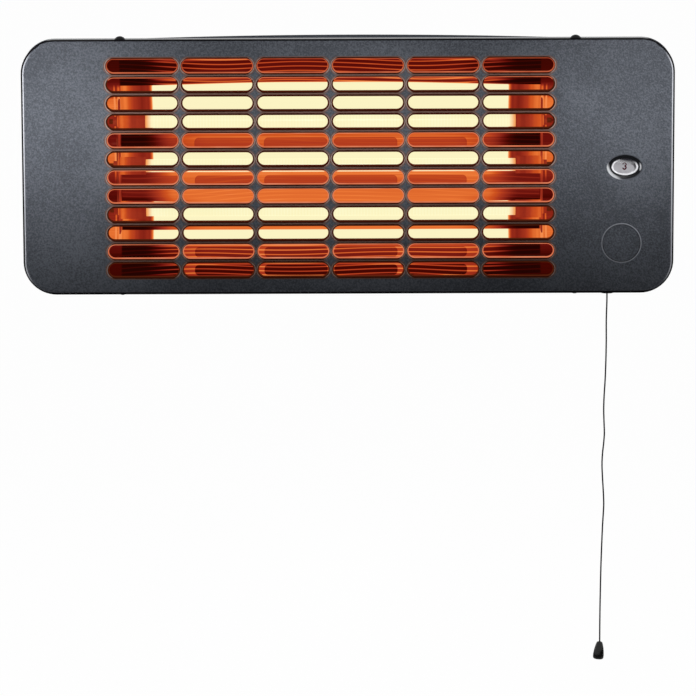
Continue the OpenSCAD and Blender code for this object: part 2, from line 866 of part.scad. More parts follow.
// Cord inside the case: a straight run with a bead that the lever's eye carries
module pull_cord_inner() color("#151515") {
    translate([cord_x, cord_y, exit_z]) cylinder(h = bead_z - exit_z, r = cord_r);
    translate([cord_x, cord_y, bead_z]) sphere(bead_r);
}

// A smooth curve through the route's points
function blend(a, b, c, d, t) = 0.5 * (
    2 * b + (c - a) * t + (2 * a - 5 * b + 4 * c - d) * t * t
    + (3 * b - a - 3 * c + d) * t * t * t
);
function at(points, i) = points[max(0, min(len(points) - 1, i))];
function curve(points, steps) = concat(
    [for (i = [0 : len(points) - 2], k = [0 : steps - 1]) blend(
        at(points, i - 1), at(points, i), at(points, i + 1), at(points, i + 2), k / steps
    )],
    [points[len(points) - 1]]
);

function unit(v) = v / norm(v);
function heading(points, i) = let (j = max(0, min(len(points) - 2, i)))
    unit(points[j + 1] - points[j]);
function square_to(v) = unit(cross(v, abs(v.z) < 0.9 ? [0, 0, 1] : [1, 0, 0]));
// Moves a spoke along line a onto the plane that halves the bend from a to b
function mitre(spoke, a, b) = spoke - a * (spoke * (a + b)) / (a * (a + b));
// Turns a spoke of line a into a spoke of line b
function carry(spoke, a, b) = let (m = mitre(spoke, a, b)) unit(m - b * (m * b));

module tube_along(points, r, sides) {
    rings = len(points);
    verts = [for (
        i = 0, spoke = square_to(heading(points, 0));
        i < rings;
        spoke = carry(spoke, heading(points, i - 1), heading(points, i)), i = i + 1
    ) each let (a = heading(points, i - 1), b = heading(points, i), side = cross(a, spoke))
        [for (k = [0 : sides - 1]) points[i] + r * mitre(
            spoke * cos(360 * k / sides) + side * sin(360 * k / sides), a, b
        )]
    ];
    walls = [for (i = [0 : rings - 2], k = [0 : sides - 1]) let (
        a = i * sides + k, b = i * sides + (k + 1) % sides,
        c = a + sides, d = b + sides
    ) each [[a, c, d], [a, d, b]]];
    first = [for (k = [1 : sides - 2]) [0, k, k + 1]];
    last = [for (k = [1 : sides - 2]) let (z = (rings - 1) * sides) [z, z + k + 1, z + k]];
    polyhedron(verts, concat(walls, first, last));
}

module pull_cord() color("#151515") {
    translate([cord_x, cord_y, swing_z])
        tube_along(curve(route, route_steps), cord_r, cord_sides);
}

// Bell-shaped knob, open below, hung a little askew from the end of the cord
module pull_knob() color("#0d0d0e") {
    r = knob_d / 2;
    translate([cord_x, cord_y, swing_z] + knob_at) rotate([0, knob_lean, 0])
        rotate_extrude() scale([r, knob_len]) polygon([
            [0, 0], [0.3, 0], [0.45, -0.03], [0.58, -0.1], [0.68, -0.2], [0.8, -0.33],
            [0.9, -0.5], [0.97, -0.68], [1, -0.82], [0.97, -0.93], [0.85, -1],
            [0.6, -1], [0.48, -0.85], [0, -0.8]
        ]);
}

module block_ways() {
    for (k = [-1 : 1]) translate([block_x + k * way_pitch, 0, block_z]) children();
}

// Three-way terminal block on the inside of the rear shell
module terminal_block() color("#efe9d6") {
    difference() {
        slab(block_back_d - block_t, block_back_d) translate([block_x, block_z])
            square([block_w, block_h], center = true);
        block_ways() {
            rod_y(block_back_d - block_t - 1, block_back_d - block_t + way_screw_len + 1.1,
                way_screw_r + gap);
            translate([0, dy(block_wire_d), -block_h])
                cylinder(h = 2 * block_h, r = way_hole_r);
        }
    }
}

module terminal_screws() color("#d8b25c") {
    front = block_back_d - block_t;
    block_ways() rod_y(front + 1, front + 1 + way_screw_len, way_screw_r);
}

module lead(points) {
    tube_along(points, wire_r, wire_sides);
}

// Each lead leaves its contact to the right, then keeps to its own depth
function contact_z(k) = axis_z + contact_up - contact_pitch * k;
function lead_start(k) = [
    [contact_x, dy(contact_d), contact_z(k)],
    [contact_x + lead_out[k], dy(contact_d), contact_z(k)],
    if (k != 2) [contact_x + lead_out[k], dy(lead_d[k]), contact_z(k)]
];

// Three leads from the switch contacts to the pins on the right
module tube_leads() color("#b04a3a") {
    for (n = [0 : 2]) let (z_tube = (1 - n) * tube_pitch) lead(concat(lead_start(n), [
        [contact_x + lead_out[n], dy(lead_d[n]), lead_z[n]],
        [lane_x, dy(lead_d[n]), lead_z[n]],
        [lane_x, dy(lead_d[n]), z_tube],
        [lane_x, dy(tube_axis_d), z_tube],
        [grille_x + pin_end, dy(tube_axis_d), z_tube]
    ]));
}

// Live lead from the terminal block to the lowest contact
module supply_lead() color("#6b4a2f") {
    way_x = block_x + way_pitch;
    lead(concat(lead_start(3), [
        [contact_x + lead_out[3], dy(lead_d[3]), lead_z[3]],
        [way_x, dy(lead_d[3]), lead_z[3]],
        [way_x, dy(lead_d[3]), way_end_z]
    ]));
}

// Lead from the strip on the left, round the reflector's end, to the terminal block
module return_lead() color("#3f5f8a") {
    way_x = block_x - way_pitch;
    turn_x = grille_x - mirror_len / 2 - return_in;
    z = tube_pitch / 2;
    lead([
        [grille_x - link_in - link_t, dy(tube_axis_d), z],
        [turn_x, dy(tube_axis_d), z],
        [turn_x, dy(block_wire_d), z],
        [way_x, dy(block_wire_d), z],
        [way_x, dy(block_wire_d), way_end_z]
    ]);
}

// Earth lead from the block's middle way to a stud on the shell
module earth_lead() color("#5f9a3c") {
    wire_from = earth_z + earth_eye_r - 0.4;
    translate([block_x, dy(block_wire_d), wire_from])
        cylinder(h = way_end_z - wire_from, r = wire_r);
    translate([block_x, 0, earth_z]) difference() {
        rod_y(block_wire_d - 0.5, block_wire_d + 0.5, earth_eye_r);
        rod_y(block_wire_d - 2, block_wire_d + 2, earth_post_r + 0.1);
    }
}

module earth_stud() color("#b9bcc0") {
    translate([block_x, 0, earth_z]) {
        rod_y(block_wire_d - earth_nut_t - 1.6, block_back_d, earth_post_r);
        rod_y(block_wire_d + 0.5, block_back_d, earth_spacer_r);
        translate([0, dy(block_wire_d - 0.5), 0]) rotate([90, 0, 0])
            cylinder(h = earth_nut_t, r = earth_spacer_r, $fn = 6);
    }
}

module gland_body() color("#202226") {
    translate([gland_x, 0, gland_z]) difference() {
        union() {
            rod_y(shell_end_d - sheet_t - locknut_t - 2, shell_end_d, gland_neck_r);
            translate([0, dy(shell_end_d + gland_hex_t), 0]) rotate([90, 0, 0])
                cylinder(h = gland_hex_t, r = gland_af_r, $fn = 6);
            rod_y(shell_end_d, shell_end_d + gland_neck_len, gland_neck_r);
        }
        rod_y(shell_end_d - 10, shell_end_d + gland_hex_t, gland_hole_r);
        rod_y(shell_end_d + gland_hex_t - 1, shell_end_d + gland_nut_at,
            gland_hole_r + gland_seal_t + 0.1);
    }
}

module gland_seal() color("#3a3a3a") {
    translate([gland_x, 0, gland_z]) difference() {
        rod_y(shell_end_d + gland_hex_t, shell_end_d + gland_neck_len,
            gland_hole_r + gland_seal_t);
        rod_y(shell_end_d + gland_hex_t - 1, shell_end_d + gland_nut_at, gland_hole_r);
    }
}

module gland_nut() color("#202226") {
    grip_t = gland_nut_at - gland_hex_t - gap;
    translate([gland_x, 0, gland_z]) difference() {
        union() {
            translate([0, dy(shell_end_d + gland_nut_at), 0]) rotate([90, 0, 0])
                cylinder(h = grip_t, r = gland_af_r - 0.5, $fn = 6);
            rod_y(shell_end_d + gland_nut_at, shell_end_d + gland_len, gland_neck_r);
        }
        rod_y(shell_end_d + gland_hex_t - 1, shell_end_d + gland_neck_len + gap,
            gland_neck_r + 0.1);
        rod_y(shell_end_d, shell_end_d + gland_len + 1, gland_hole_r);
    }
}

module gland_locknut() color("#2b2d31") {
    front = shell_end_d - sheet_t - locknut_t;
    translate([gland_x, 0, gland_z]) difference() {
        translate([0, dy(shell_end_d - sheet_t), 0]) rotate([90, 0, 0])
            cylinder(h = locknut_t, r = gland_af_r - 1, $fn = 6);
        rod_y(front - 1, shell_end_d, gland_neck_r + 0.1);
    }
}

// Rivets stand square to the bow, so they are drawn from its centre outwards
module lug_rivet_places(s) {
    for (z = [-1, 1]) translate([0, bow_c, z * rivet_z])
        rotate([0, 0, -s * asin(rivet_x / bow_r)]) children();
}

module rivet_rod(from, to, r) {
    rotate([-90, 0, 0]) translate([0, 0, bow_r + from]) cylinder(h = to - from, r = r);
}

// Lug on the back of the shell: a curved foot and an upright ear with the tilt hole
module tilt_lug(s) color("#33363b") {
    foot_x = s > 0 ? lug_x - foot_w : -lug_x;
    ear_at = s > 0 ? lug_x - lug_t : -lug_x;
    difference() {
        union() {
            intersection() {
                translate([0, 0, -foot_z]) linear_extrude(2 * foot_z)
                    translate([0, bow_c]) circle(bow_r + lug_t, $fn = 240);
                translate([foot_x, dy(shell_end_d), -foot_z])
                    cube([foot_w, bow_rise + 20, 2 * foot_z]);
            }
            along_x(ear_at, ear_at + lug_t) {
                polygon([
                    [dy(shell_end_d), foot_z], [bow_y(lug_x) + 3, foot_z], [-hinge_out, ear_r],
                    [-hinge_out, -ear_r], [bow_y(lug_x) + 3, -foot_z], [dy(shell_end_d), -foot_z]
                ]);
                translate([-hinge_out, 0]) circle(ear_r);
            }
        }
        translate([0, 0, -case_h / 2]) linear_extrude(case_h)
            translate([0, bow_c]) circle(bow_r, $fn = 240);
        translate([0, -hinge_out, 0]) rod_x(-case_w, case_w, bolt_r + run);
        lug_rivet_places(s) rivet_rod(-1, lug_t + 1, rivet_r + 0.05);
    }
}
module tilt_lug_left() tilt_lug(-1);
module tilt_lug_right() tilt_lug(1);

// Rivets through the lug feet and the shell, with a head on each side
module lug_rivets() color("#7d8188") {
    inner = -sheet_t - 0.02;
    for (s = [-1, 1]) lug_rivet_places(s) {
        rivet_rod(inner - 1, lug_t + 1, rivet_r);
        rivet_rod(inner - 1.4, inner, rivet_r + 1.4);
        rivet_rod(lug_t, lug_t + 1.6, rivet_r + 1.6);
    }
}

// Bent steel bracket: a wall plate with two slots, and an ear at each end
module wall_bracket() color("#2b2d31") {
    difference() {
        union() {
            translate([-ear_out, -bracket_t, -bracket_h / 2])
                cube([2 * ear_out, bracket_t, bracket_h]);
            for (s = [-1, 1]) along_x(s > 0 ? ear_x : -ear_out, s > 0 ? ear_out : -ear_x) {
                polygon([
                    [0, bracket_h / 2], [0, -bracket_h / 2], [-bracket_t, -bracket_h / 2],
                    [-hinge_out, -ear_r], [-hinge_out, ear_r], [-bracket_t, bracket_h / 2]
                ]);
                translate([-hinge_out, 0]) circle(ear_r);
            }
        }
        for (x = [-1, 1]) translate([x * wall_pitch / 2, 1, 0]) rotate([90, 0, 0])
            linear_extrude(bracket_t + 2) slot_shape(wall_slot_len, 2 * wall_slot_r);
        translate([0, -hinge_out, 0]) rod_x(-case_w, case_w, bolt_r + 0.1);
    }
}

module tilt_bolt(s) color("#9ea2a8") {
    head_in = lug_x - lug_t - gap - bolt_head_t;
    translate([0, -hinge_out, 0]) mirror([s < 0 ? 1 : 0, 0, 0]) {
        translate([head_in, 0, 0]) rotate([0, 90, 0])
            cylinder(h = bolt_head_t, r = bolt_r + bolt_head, $fn = 6);
        rod_x(head_in, knob_in + knob_hub + bolt_past, bolt_r);
    }
}
module tilt_bolt_left() tilt_bolt(-1);
module tilt_bolt_right() tilt_bolt(1);

module tilt_washers() color("#a9adb3") {
    for (s = [0, 1]) mirror([s, 0, 0]) translate([0, -hinge_out, 0]) difference() {
        rod_x(ear_out, ear_out + washer_t, washer_r);
        rod_x(ear_out - 1, ear_out + washer_t + 1, bolt_r + 0.1);
    }
}

// Wing nut: a round hub with two flat wings
module wing_nut(s) color("#232529") {
    translate([0, -hinge_out, 0]) mirror([s < 0 ? 1 : 0, 0, 0]) difference() {
        union() {
            rod_x(knob_in, knob_in + knob_hub, hub_r);
            along_x(knob_in + 3, knob_in + knob_hub)
                rounded_plate(wing_t, 2 * wing_r, wing_t / 2 - 0.1);
        }
        rod_x(knob_in - 1, knob_in + knob_hub + 1, bolt_r + run);
    }
}
module wing_nut_left() wing_nut(-1);
module wing_nut_right() wing_nut(1);

front_cover();
rear_shell();
rim_screws();
cover_studs();
reflector_nuts();
reflector();
reflector_end_left();
reflector_end_right();
quartz_tube_top();
quartz_tube_middle();
quartz_tube_bottom();
heating_coil_top();
heating_coil_middle();
heating_coil_bottom();
end_cap_top_left();
end_cap_top_right();
end_cap_middle_left();
end_cap_middle_right();
end_cap_bottom_left();
end_cap_bottom_right();
tube_support_left();
tube_support_right();
terminal_nuts();
link_strip();
window_lens();
lens_retainer();
indicator_disc();
ratchet_wheel();
switch_shaft();
pull_lever();
return_spring();
switch_lid();
switch_body();
switch_contacts();
switch_posts();
switch_screws();
cord_bush();
pull_cord_inner();
pull_cord();
pull_knob();
terminal_block();
terminal_screws();
tube_leads();
supply_lead();
return_lead();
earth_lead();
earth_stud();
gland_body();
gland_seal();
gland_nut();
gland_locknut();
tilt_lug_left();
tilt_lug_right();
lug_rivets();
wall_bracket();
tilt_bolt_left();
tilt_bolt_right();
tilt_washers();
wing_nut_left();
wing_nut_right();
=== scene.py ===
import math
import bmesh
import bpy
from mathutils import Matrix, Vector


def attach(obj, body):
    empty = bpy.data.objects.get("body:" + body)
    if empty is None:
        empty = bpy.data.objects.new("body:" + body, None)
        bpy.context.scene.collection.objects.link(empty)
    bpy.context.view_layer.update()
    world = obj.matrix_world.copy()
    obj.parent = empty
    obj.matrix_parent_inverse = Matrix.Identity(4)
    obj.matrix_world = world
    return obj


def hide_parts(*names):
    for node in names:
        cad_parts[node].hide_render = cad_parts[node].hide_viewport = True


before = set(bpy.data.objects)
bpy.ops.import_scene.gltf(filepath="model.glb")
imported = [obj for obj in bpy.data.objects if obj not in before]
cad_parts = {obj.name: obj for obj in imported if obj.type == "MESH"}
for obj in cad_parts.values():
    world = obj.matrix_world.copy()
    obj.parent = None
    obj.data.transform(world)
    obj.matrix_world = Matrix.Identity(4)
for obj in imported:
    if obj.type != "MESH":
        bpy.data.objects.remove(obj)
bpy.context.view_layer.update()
print("heater frame loaded")


# sizes that several pieces and finishes share, in metres
case = {
    "width": 0.510, "height": 0.200, "front": -0.107, "corner": 0.026,
    "rimDepth": 0.022, "rimEdge": 0.0003, "sheet": 0.001, "bend": 0.004,
}
grille = {
    "rows": 12, "columns": 6, "slotWidth": 0.0564, "slotHeight": 0.0116,
    "pitchX": 0.0587, "pitchZ": 0.0146, "middle": -0.0137,
    "lipRound": 0.001, "lipDepth": 0.0032, "lipWall": 0.0008, "lipEdge": 0.0002,
    "lipLean": 0.0009,        # how far a lip leans into its slot
}
window = {
    "x": 0.2163, "lensWidth": 0.0215, "lensHeight": 0.0135, "edge": 0.0025, "depth": 0.002,
    "clearance": 0.00015, "discDepth": 0.0065,
}
ring = {"x": 0.2139, "z": -0.060, "radius": 0.0158, "line": 0.0014, "rise": 0.0004}
fineness = {                  # how many steps go round each curve
    "corner": 14, "slotEnd": 12, "window": 56, "ring": 72, "knob": 48,
    "bend": 8, "innerBend": 6, "lip": 5,
}


def mm(metres):
    return metres * 1000


def toWorld(depth):
    return case["front"] + depth


# camera
view = {
    "distance": 3.6,          # from the cover to the lens
    "elevation": 7.5,         # degrees above the cover's normal
    "aimX": -0.0006, "aimZ": -0.1427,     # what stands in the middle of the picture
    "width": 0.5442,          # what the picture takes in at the cover
    "roll": -0.2,             # degrees, as the heater hangs a little out of level
    "sensor": 36, "clip": (0.05, 60),
}


def makeCamera():
    optics = bpy.data.cameras.new("photoCamera")
    optics.sensor_width = view["sensor"]
    optics.lens = view["sensor"] * view["distance"] / view["width"]
    optics.clip_start, optics.clip_end = view["clip"]
    camera = bpy.data.objects.new("photoCamera", optics)
    bpy.context.collection.objects.link(camera)
    tilt = math.radians(view["elevation"])
    camera.location = (
        view["aimX"], case["front"] - view["distance"] * math.cos(tilt),
        view["distance"] * math.sin(tilt))
    aim = Vector((view["aimX"], case["front"], view["aimZ"])) - camera.location
    roll = Matrix.Rotation(math.radians(view["roll"]), 4, "Z")
    turn = aim.to_track_quat("-Z", "Y").to_matrix().to_4x4() @ roll
    camera.rotation_euler = turn.to_euler()
    bpy.context.scene.camera = camera


makeCamera()
print("camera placed")


# shader nodes
socketNames = {
    "colour": "Base Color", "rough": "Roughness", "metal": "Metallic", "coat": "Coat Weight",
    "glow": "Emission Color", "glowStrength": "Emission Strength", "normal": "Normal",
    "alpha": "Alpha", "shine": "Specular IOR Level",
}


class Signal:
    # a value between nodes, so that sums on it can be written plainly
    def __init__(self, nodes, socket):
        self.nodes, self.socket = nodes, socket

    def __add__(self, other): return self.nodes.math("ADD", self, other)
    def __radd__(self, other): return self.nodes.math("ADD", other, self)
    def __sub__(self, other): return self.nodes.math("SUBTRACT", self, other)
    def __rsub__(self, other): return self.nodes.math("SUBTRACT", other, self)
    def __mul__(self, other): return self.nodes.math("MULTIPLY", self, other)
    def __rmul__(self, other): return self.nodes.math("MULTIPLY", other, self)
    def __truediv__(self, other): return self.nodes.math("DIVIDE", self, other)
    def __rtruediv__(self, other): return self.nodes.math("DIVIDE", other, self)
    def __abs__(self): return self.nodes.math("ABSOLUTE", self)


def shade(colour):
    # a written colour gets its fourth number, anything else stays
    return (*colour, 1) if isinstance(colour, tuple) else colour


class Nodes:
    # the nodes of one material or of the world
    def __init__(self, tree):
        self.tree = tree

    def node(self, kind, settings=None, inputs=None, output=0):
        made = self.tree.nodes.new(kind)
        for key, value in (settings or {}).items():
            if key == "stops":
                self.setStops(made.color_ramp.elements, value)
            else:
                setattr(made, key, value)
        for key, value in (inputs or {}).items():
            self.feed(made.inputs[key], value)
        return Signal(self, made.outputs[output])

    def setStops(self, elements, stops):
        elements[0].position, elements[1].position = stops[0][0], stops[-1][0]
        for place, _ in stops[1:-1]:
            elements.new(place)
        for element, (_, colour) in zip(elements, stops):
            element.color = shade(colour)

    def feed(self, socket, value):
        if isinstance(value, Signal):
            self.tree.links.new(value.socket, socket)
        else:
            socket.default_value = value

    def math(self, operation, *values):
        return self.node("ShaderNodeMath", {"operation": operation}, dict(enumerate(values)))


class Paint(Nodes):
    # one material, built round the shader that it starts with
    def __init__(self, name, **constants):
        self.material = bpy.data.materials.new(name)
        self.material.use_nodes = True
        super().__init__(self.material.node_tree)
        self.shader = self.tree.nodes["Principled BSDF"]
        self.drive(**constants)

    def drive(self, **values):
        for key, value in values.items():
            self.feed(self.shader.inputs[socketNames[key]], shade(value))

    def place(self):
        # a point on the heater, and its millimetres to the right, behind the cover's face and up
        spot = self.node("ShaderNodeTexCoord", output="Object")
        x, y, z = (mm(self.node("ShaderNodeSeparateXYZ", {}, {0: spot}, k)) for k in range(3))
        return spot, x, y - mm(case["front"]), z

    def fold(self, value, span):
        # runs up to span and back down again, as mirrored copies do
        return self.math("PINGPONG", value, span)

    def atLeast(self, value, low):
        return self.math("MAXIMUM", value, low)

    def atMost(self, value, high):
        return self.math("MINIMUM", value, high)

    def length(self, first, second):
        return self.math("SQRT", first * first + second * second)

    def choose(self, mask, first, second):
        return first * (1 - mask) + second * mask

    def fromMiddle(self, x):
        return abs(x - mm(grille["middle"]))

    def fromSlot(self, x, z):
        # millimetres from the edge of the nearest slot, less than 0 inside it
        halfX, halfZ, width, height = (
            mm(grille[k]) / 2 for k in ("pitchX", "pitchZ", "slotWidth", "slotHeight"))
        across = halfX - self.fold(self.fromMiddle(x), halfX)
        up = halfZ - self.fold(abs(z), halfZ)
        return self.length(self.atLeast(across - (width - height), 0.0), up) - height

    def noise(self, spot, scale, detail=2.0, roughness=0.5, stretch=None, distortion=0.0):
        if stretch:
            spot = self.node(
                "ShaderNodeVectorMath", {"operation": "MULTIPLY"}, {0: spot, 1: stretch})
        return self.node("ShaderNodeTexNoise", {}, {
            "Vector": spot, "Scale": scale, "Detail": detail, "Roughness": roughness,
            "Distortion": distortion})

    def ramp(self, value, low, high, start=0.0, end=1.0):
        return self.node(
            "ShaderNodeMapRange", {"interpolation_type": "SMOOTHSTEP", "clamp": True},
            {0: value, 1: low, 2: high, 3: start, 4: end})

    def vary(self, noise, start=0.0, end=1.0):
        # the middle part of a noise, where nearly all of its values lie
        return self.ramp(noise, 0.3, 0.7, start, end)

    def blend(self, factor, first, second):
        return self.node("ShaderNodeMix", {"data_type": "RGBA", "clamp_factor": True}, {
            0: factor, 6: shade(first), 7: shade(second)}, 2)

    def colours(self, value, stops):
        return self.node("ShaderNodeValToRGB", {"stops": stops}, {0: value})

    def bump(self, height, strength, distance):
        return self.node("ShaderNodeBump", {}, {
            "Height": height, "Strength": strength, "Distance": distance})


# paint of the case
hammer = {
    "cloud": 22, "grain": 760, "dimples": 700,     # how many lie along a metre
    "tones": (0.38, 0.64),    # where the grain passes from the dark tone to the light one
    "rough": (0.40, 0.54),
    "warmLight": (0.128, 0.070, 0.056),        # painted red-tinted light beside the slots
    "slotEdge": (2.1, 1.3),   # mm from a slot within which the painted light lies
    "outside": (1.9, 1.4),    # how far that goes beyond the outermost slots
}
rim = {                       # mm across, up, or behind the cover's face
    "side": (246, 253.5), "under": (-96.0, -98.6), "over": (95.0, 98.0),
    # where the painted dark line of shade along the bend starts and ends, and what is added above,
    # below, beside
    "lineStart": ((0.8, 1.2, -0.6, -0.1), (1.3, 1.3, -0.8, -0.2)),
    "lineEnd": ((13.0, 4.0, 0.0, -8.0), (5.5, 6.0, 0.0, -1.6)),
    # where the painted side highlight begins, and where the coat of gloss lies on the top
    "sideHighlightFrom": (0.25, 0.55), "glossUp": (99.0, 99.8), "glossFrom": (9.5, 14.0),
    "gloss": 0.4,
    # colours of the painted dark line of shade and of the painted side highlight
    "line": (0.007, 0.007, 0.008), "sideHighlight": (0.47, 0.48, 0.52),
}
lips = {
    "gap": (6.5, 2.5),        # mm from the gap between two slots, where the edge gets a painted highlight
    "paintEnd": ((0.03, 0.22), (0.06, 0.28)),      # mm deep where the painted dark line of shade begins, and how much deeper under the painted highlight
    "inside": (0.95, 1.25),   # mm deep, where the painted glow begins
    # where the painted red light on the lips is strongest, and how far it reaches
    "warmLightHeight": -8, "warmLightReach": (110, 62),
    "dimRows": ((48.7, 20.0), (7.3, 7.4), (-44.0, 14.6), (-80.3, 6.6)),   # rows where the lips get less painted light: middle and half, mm
    "dimEdge": (1.0, -0.5), "dimmer": 1.6,
    # the painted dark line of shade, and the faint painted glow on it
    "black": (0.003, 0.001, 0.001), "faintGlow": (0.022, 0.003, 0.001),
    "colours": [              # painted glow, from the dimmest to the brightest
        (0.0, (0.075, 0.013, 0.004)), (0.12, (0.16, 0.020, 0.006)), (0.35, (0.34, 0.050, 0.020)),
        (0.7, (0.66, 0.16, 0.070)), (1.0, (0.80, 0.30, 0.17)),
    ],
}


def hammeredPaint(name, dark, light, shine, besideSlots=False):
    paint = Paint(name, shine=shine)
    spot, x, _, z = paint.place()
    cloud = paint.noise(spot, hammer["cloud"], 3, 0.55)
    grain = paint.noise(spot, hammer["grain"], 2, 0.7)
    dimple = paint.node("ShaderNodeTexVoronoi", {"feature": "SMOOTH_F1"}, {
        "Vector": spot, "Scale": hammer["dimples"], "Smoothness": 0.7})
    colour = paint.blend(paint.ramp(cloud * 0.3 + grain * 0.7, *hammer["tones"]), dark, light)
    # painted red-tinted light on the face beside the slots
    if besideSlots:
        slotLight = paint.ramp(paint.fromSlot(x, z), *hammer["slotEdge"])
        for away, count, pitch, size in ((paint.fromMiddle(x), "columns", "pitchX", "slotWidth"),
                                         (abs(z), "rows", "pitchZ", "slotHeight")):
            reach = mm((grille[count] - 1) * grille[pitch] + grille[size]) / 2
            slotLight = slotLight * paint.ramp(away, *(reach + more for more in hammer["outside"]))
        colour = paint.blend(slotLight, colour, hammer["warmLight"])
    paint.drive(
        colour=colour, rough=paint.vary(grain, *hammer["rough"]),
        normal=paint.bump(dimple * 0.6 + grain, 0.8, 0.0004))
    return paint


def rimPaint(name, dark, light):
    # the same paint, with a painted dark line of shade along the bend and a painted highlight on
    # the bends at the sides
    paint = Paint(name, shine=0.0)
    spot, x, depth, z = paint.place()
    grain = paint.noise(spot, hammer["grain"], 2, 0.7)
    side = paint.ramp(abs(x), *rim["side"])
    under = paint.ramp(z, *rim["under"])
    over = paint.ramp(z, *rim["over"]) * (1 - side)

    def moved(edges):
        return (over * above + under * below + side * beside + edge
                for edge, above, below, beside in edges)

    # painted dark line of shade along the bend
    line = paint.ramp(depth, *moved(rim["lineStart"])) * paint.ramp(depth, *moved(rim["lineEnd"]))
    flat = paint.blend(paint.ramp(grain, *hammer["tones"]), dark, light)
    # painted highlight on the side bends
    sideHighlight = paint.blend(paint.ramp(depth, *rim["sideHighlightFrom"]) * side, flat, rim["sideHighlight"])
    gloss = paint.ramp(z, *rim["glossUp"]) * paint.ramp(depth, *rim["glossFrom"])
    paint.drive(
        colour=paint.blend(line, sideHighlight, rim["line"]), rough=paint.vary(grain, *hammer["rough"]),
        coat=gloss * rim["gloss"], normal=paint.bump(grain, 0.6, 0.0003))
    return paint


def lipPaint(name, dark, light):
    # turned edge of a slot: paint outside with painted highlights at the slot ends, then a painted
    # dark line of shade, then the painted glow of the light from inside
    paint = Paint(name, shine=0.0, glowStrength=1.0)
    spot, x, depth, z = paint.place()
    drift = paint.noise(spot, 60, 2)
    # painted highlight near the gaps between slots
    paintedHighlight = paint.ramp(paint.fold(paint.fromMiddle(x), mm(grille["pitchX"]) / 2), *lips["gap"])
    turned = paint.ramp(depth, *(paintedHighlight * more + edge for edge, more in lips["paintEnd"]))
    # painted red light by height, less in some rows
    warmLight = paint.ramp(abs(z - lips["warmLightHeight"]), *lips["warmLightReach"])
    for middle, half in lips["dimRows"]:
        dimmer = paint.ramp(abs(z - middle), *(half + more for more in lips["dimEdge"]))
        warmLight = warmLight - dimmer * lips["dimmer"]
    glow = paint.colours((drift + warmLight) * 0.5, lips["colours"])
    # faint painted glow on the dark line
    faintGlow = paint.blend(turned, (0.0, 0.0, 0.0), lips["faintGlow"])
    paint.drive(
        colour=paint.blend(turned, paint.blend(paintedHighlight, dark, light), lips["black"]),
        rough=paint.vary(drift, 0.4, 0.5),
        glow=paint.blend(paint.ramp(depth, *lips["inside"]), faintGlow, glow))
    return paint


def ringFinish(name, dark, light):
    # raised line, with a painted highlight on its outer flank and painted shade on its inner part
    paint = Paint(name, shine=0.1)
    spot, x, _, z = paint.place()
    inset = mm(ring["radius"]) - paint.length(x - mm(ring["x"]), z - mm(ring["z"]))
    grain = paint.noise(spot, hammer["grain"], 2, 0.6)
    paint.drive(
        colour=paint.blend(paint.ramp(inset - grain * 0.2, 0.95, 0.65), dark, light),
        rough=paint.vary(grain, *hammer["rough"]))
    return paint


# the window, where 1 is the outline of the dish or the lens
# where the painted highlights on the dish lie, and their colour
dish = {
    "lowerWay": (-0.85, 0.5), "lower": (0.62, 0.95), "lowerReach": (0.84, 0.97),
    "rightSpread": 0.5, "right": (0.65, 0.9), "rightReach": ((0.86, 0.91), (1.01, 0.95)),
    "outside": (0.97, 1.04),
    "face": (0.075, 0.080, 0.095), "paintedHighlight": (0.50, 0.51, 0.53),
}
# where the painted shadow from above and the painted rim highlight of the lens lie
lens = {
    "slant": 0.25, "shadow": (0.45, 1.0), "rim": (0.95, 0.98),
    "rimHighlight": (0.84, 0.92, 0.0, 0.8), "top": (0.2, 0.9, 0.0, 0.5),
}


def inWindow(paint, x, z, edge):
    # how far across, up and away from the middle of the window a point lies
    across = (x - mm(window["x"])) / mm(window["lensWidth"] / 2 + edge)
    up = z / mm(window["lensHeight"] / 2 + edge)
    return across, up, paint.length(across, up)


def dishPaintedLight(name, dark, light):
    # painted shade inside, a painted highlight at the lower left and a little at the right, as the
    # face outside
    paint = Paint(name, shine=0.05)
    spot, x, _, z = paint.place()
    across, up, away = inWindow(paint, x, z, window["edge"])
    grain = paint.noise(spot, hammer["grain"], 2, 0.6)
    # painted highlights at the lower left and at the right
    wayX, wayZ = dish["lowerWay"]
    lower = paint.ramp(across * wayX - up * wayZ, *dish["lower"])
    lower = lower * paint.ramp(away, *dish["lowerReach"])
    right = paint.ramp(across - abs(up) * dish["rightSpread"], *dish["right"])
    for reach in dish["rightReach"]:
        right = right * paint.ramp(away, *reach)
    # painted shade inside the dish
    inside = paint.blend(grain, dark, light)
    plain = paint.blend(paint.ramp(away, *dish["outside"]), inside, dish["face"])
    paint.drive(
        colour=paint.blend(lower + right, plain, dish["paintedHighlight"]), rough=paint.vary(grain, 0.3, 0.4))
    return paint


def clearLens(name, dark, light):
    # clear in the middle, with a painted highlight round the rim and a painted shadow from above
    paint = Paint(name, shine=0.15)
    spot, x, _, z = paint.place()
    across, up, away = inWindow(paint, x, z, 0)
    haze = paint.noise(spot, 300, 2)
    # painted shadow from above, and painted shade at the outermost edge
    shadow = paint.ramp(up + across * lens["slant"] + haze * 0.2, *lens["shadow"])
    shadow = paint.atLeast(shadow, paint.ramp(away, *lens["rim"]))
    # painted highlight round the rim
    rimHighlight = paint.ramp(away + haze * 0.1, *lens["rimHighlight"])
    paint.drive(
        colour=paint.blend(shadow, light, dark),
        alpha=paint.atLeast(rimHighlight, paint.ramp(up, *lens["top"])),
        rough=paint.vary(haze, 0.04, 0.12))
    return paint


def dialFace(name, dark, light, digits):
    # pale disc with coloured raised digits
    paint = Paint(name, rough=0.45, shine=0.1)
    spot, _, depth, _ = paint.place()
    raised = paint.ramp(mm(window["discDepth"]) - depth, 0.1, 0.16)
    grain = paint.noise(spot, 900, 2)
    paint.drive(colour=paint.blend(raised, paint.blend(grain, dark, light), digits))
    return paint
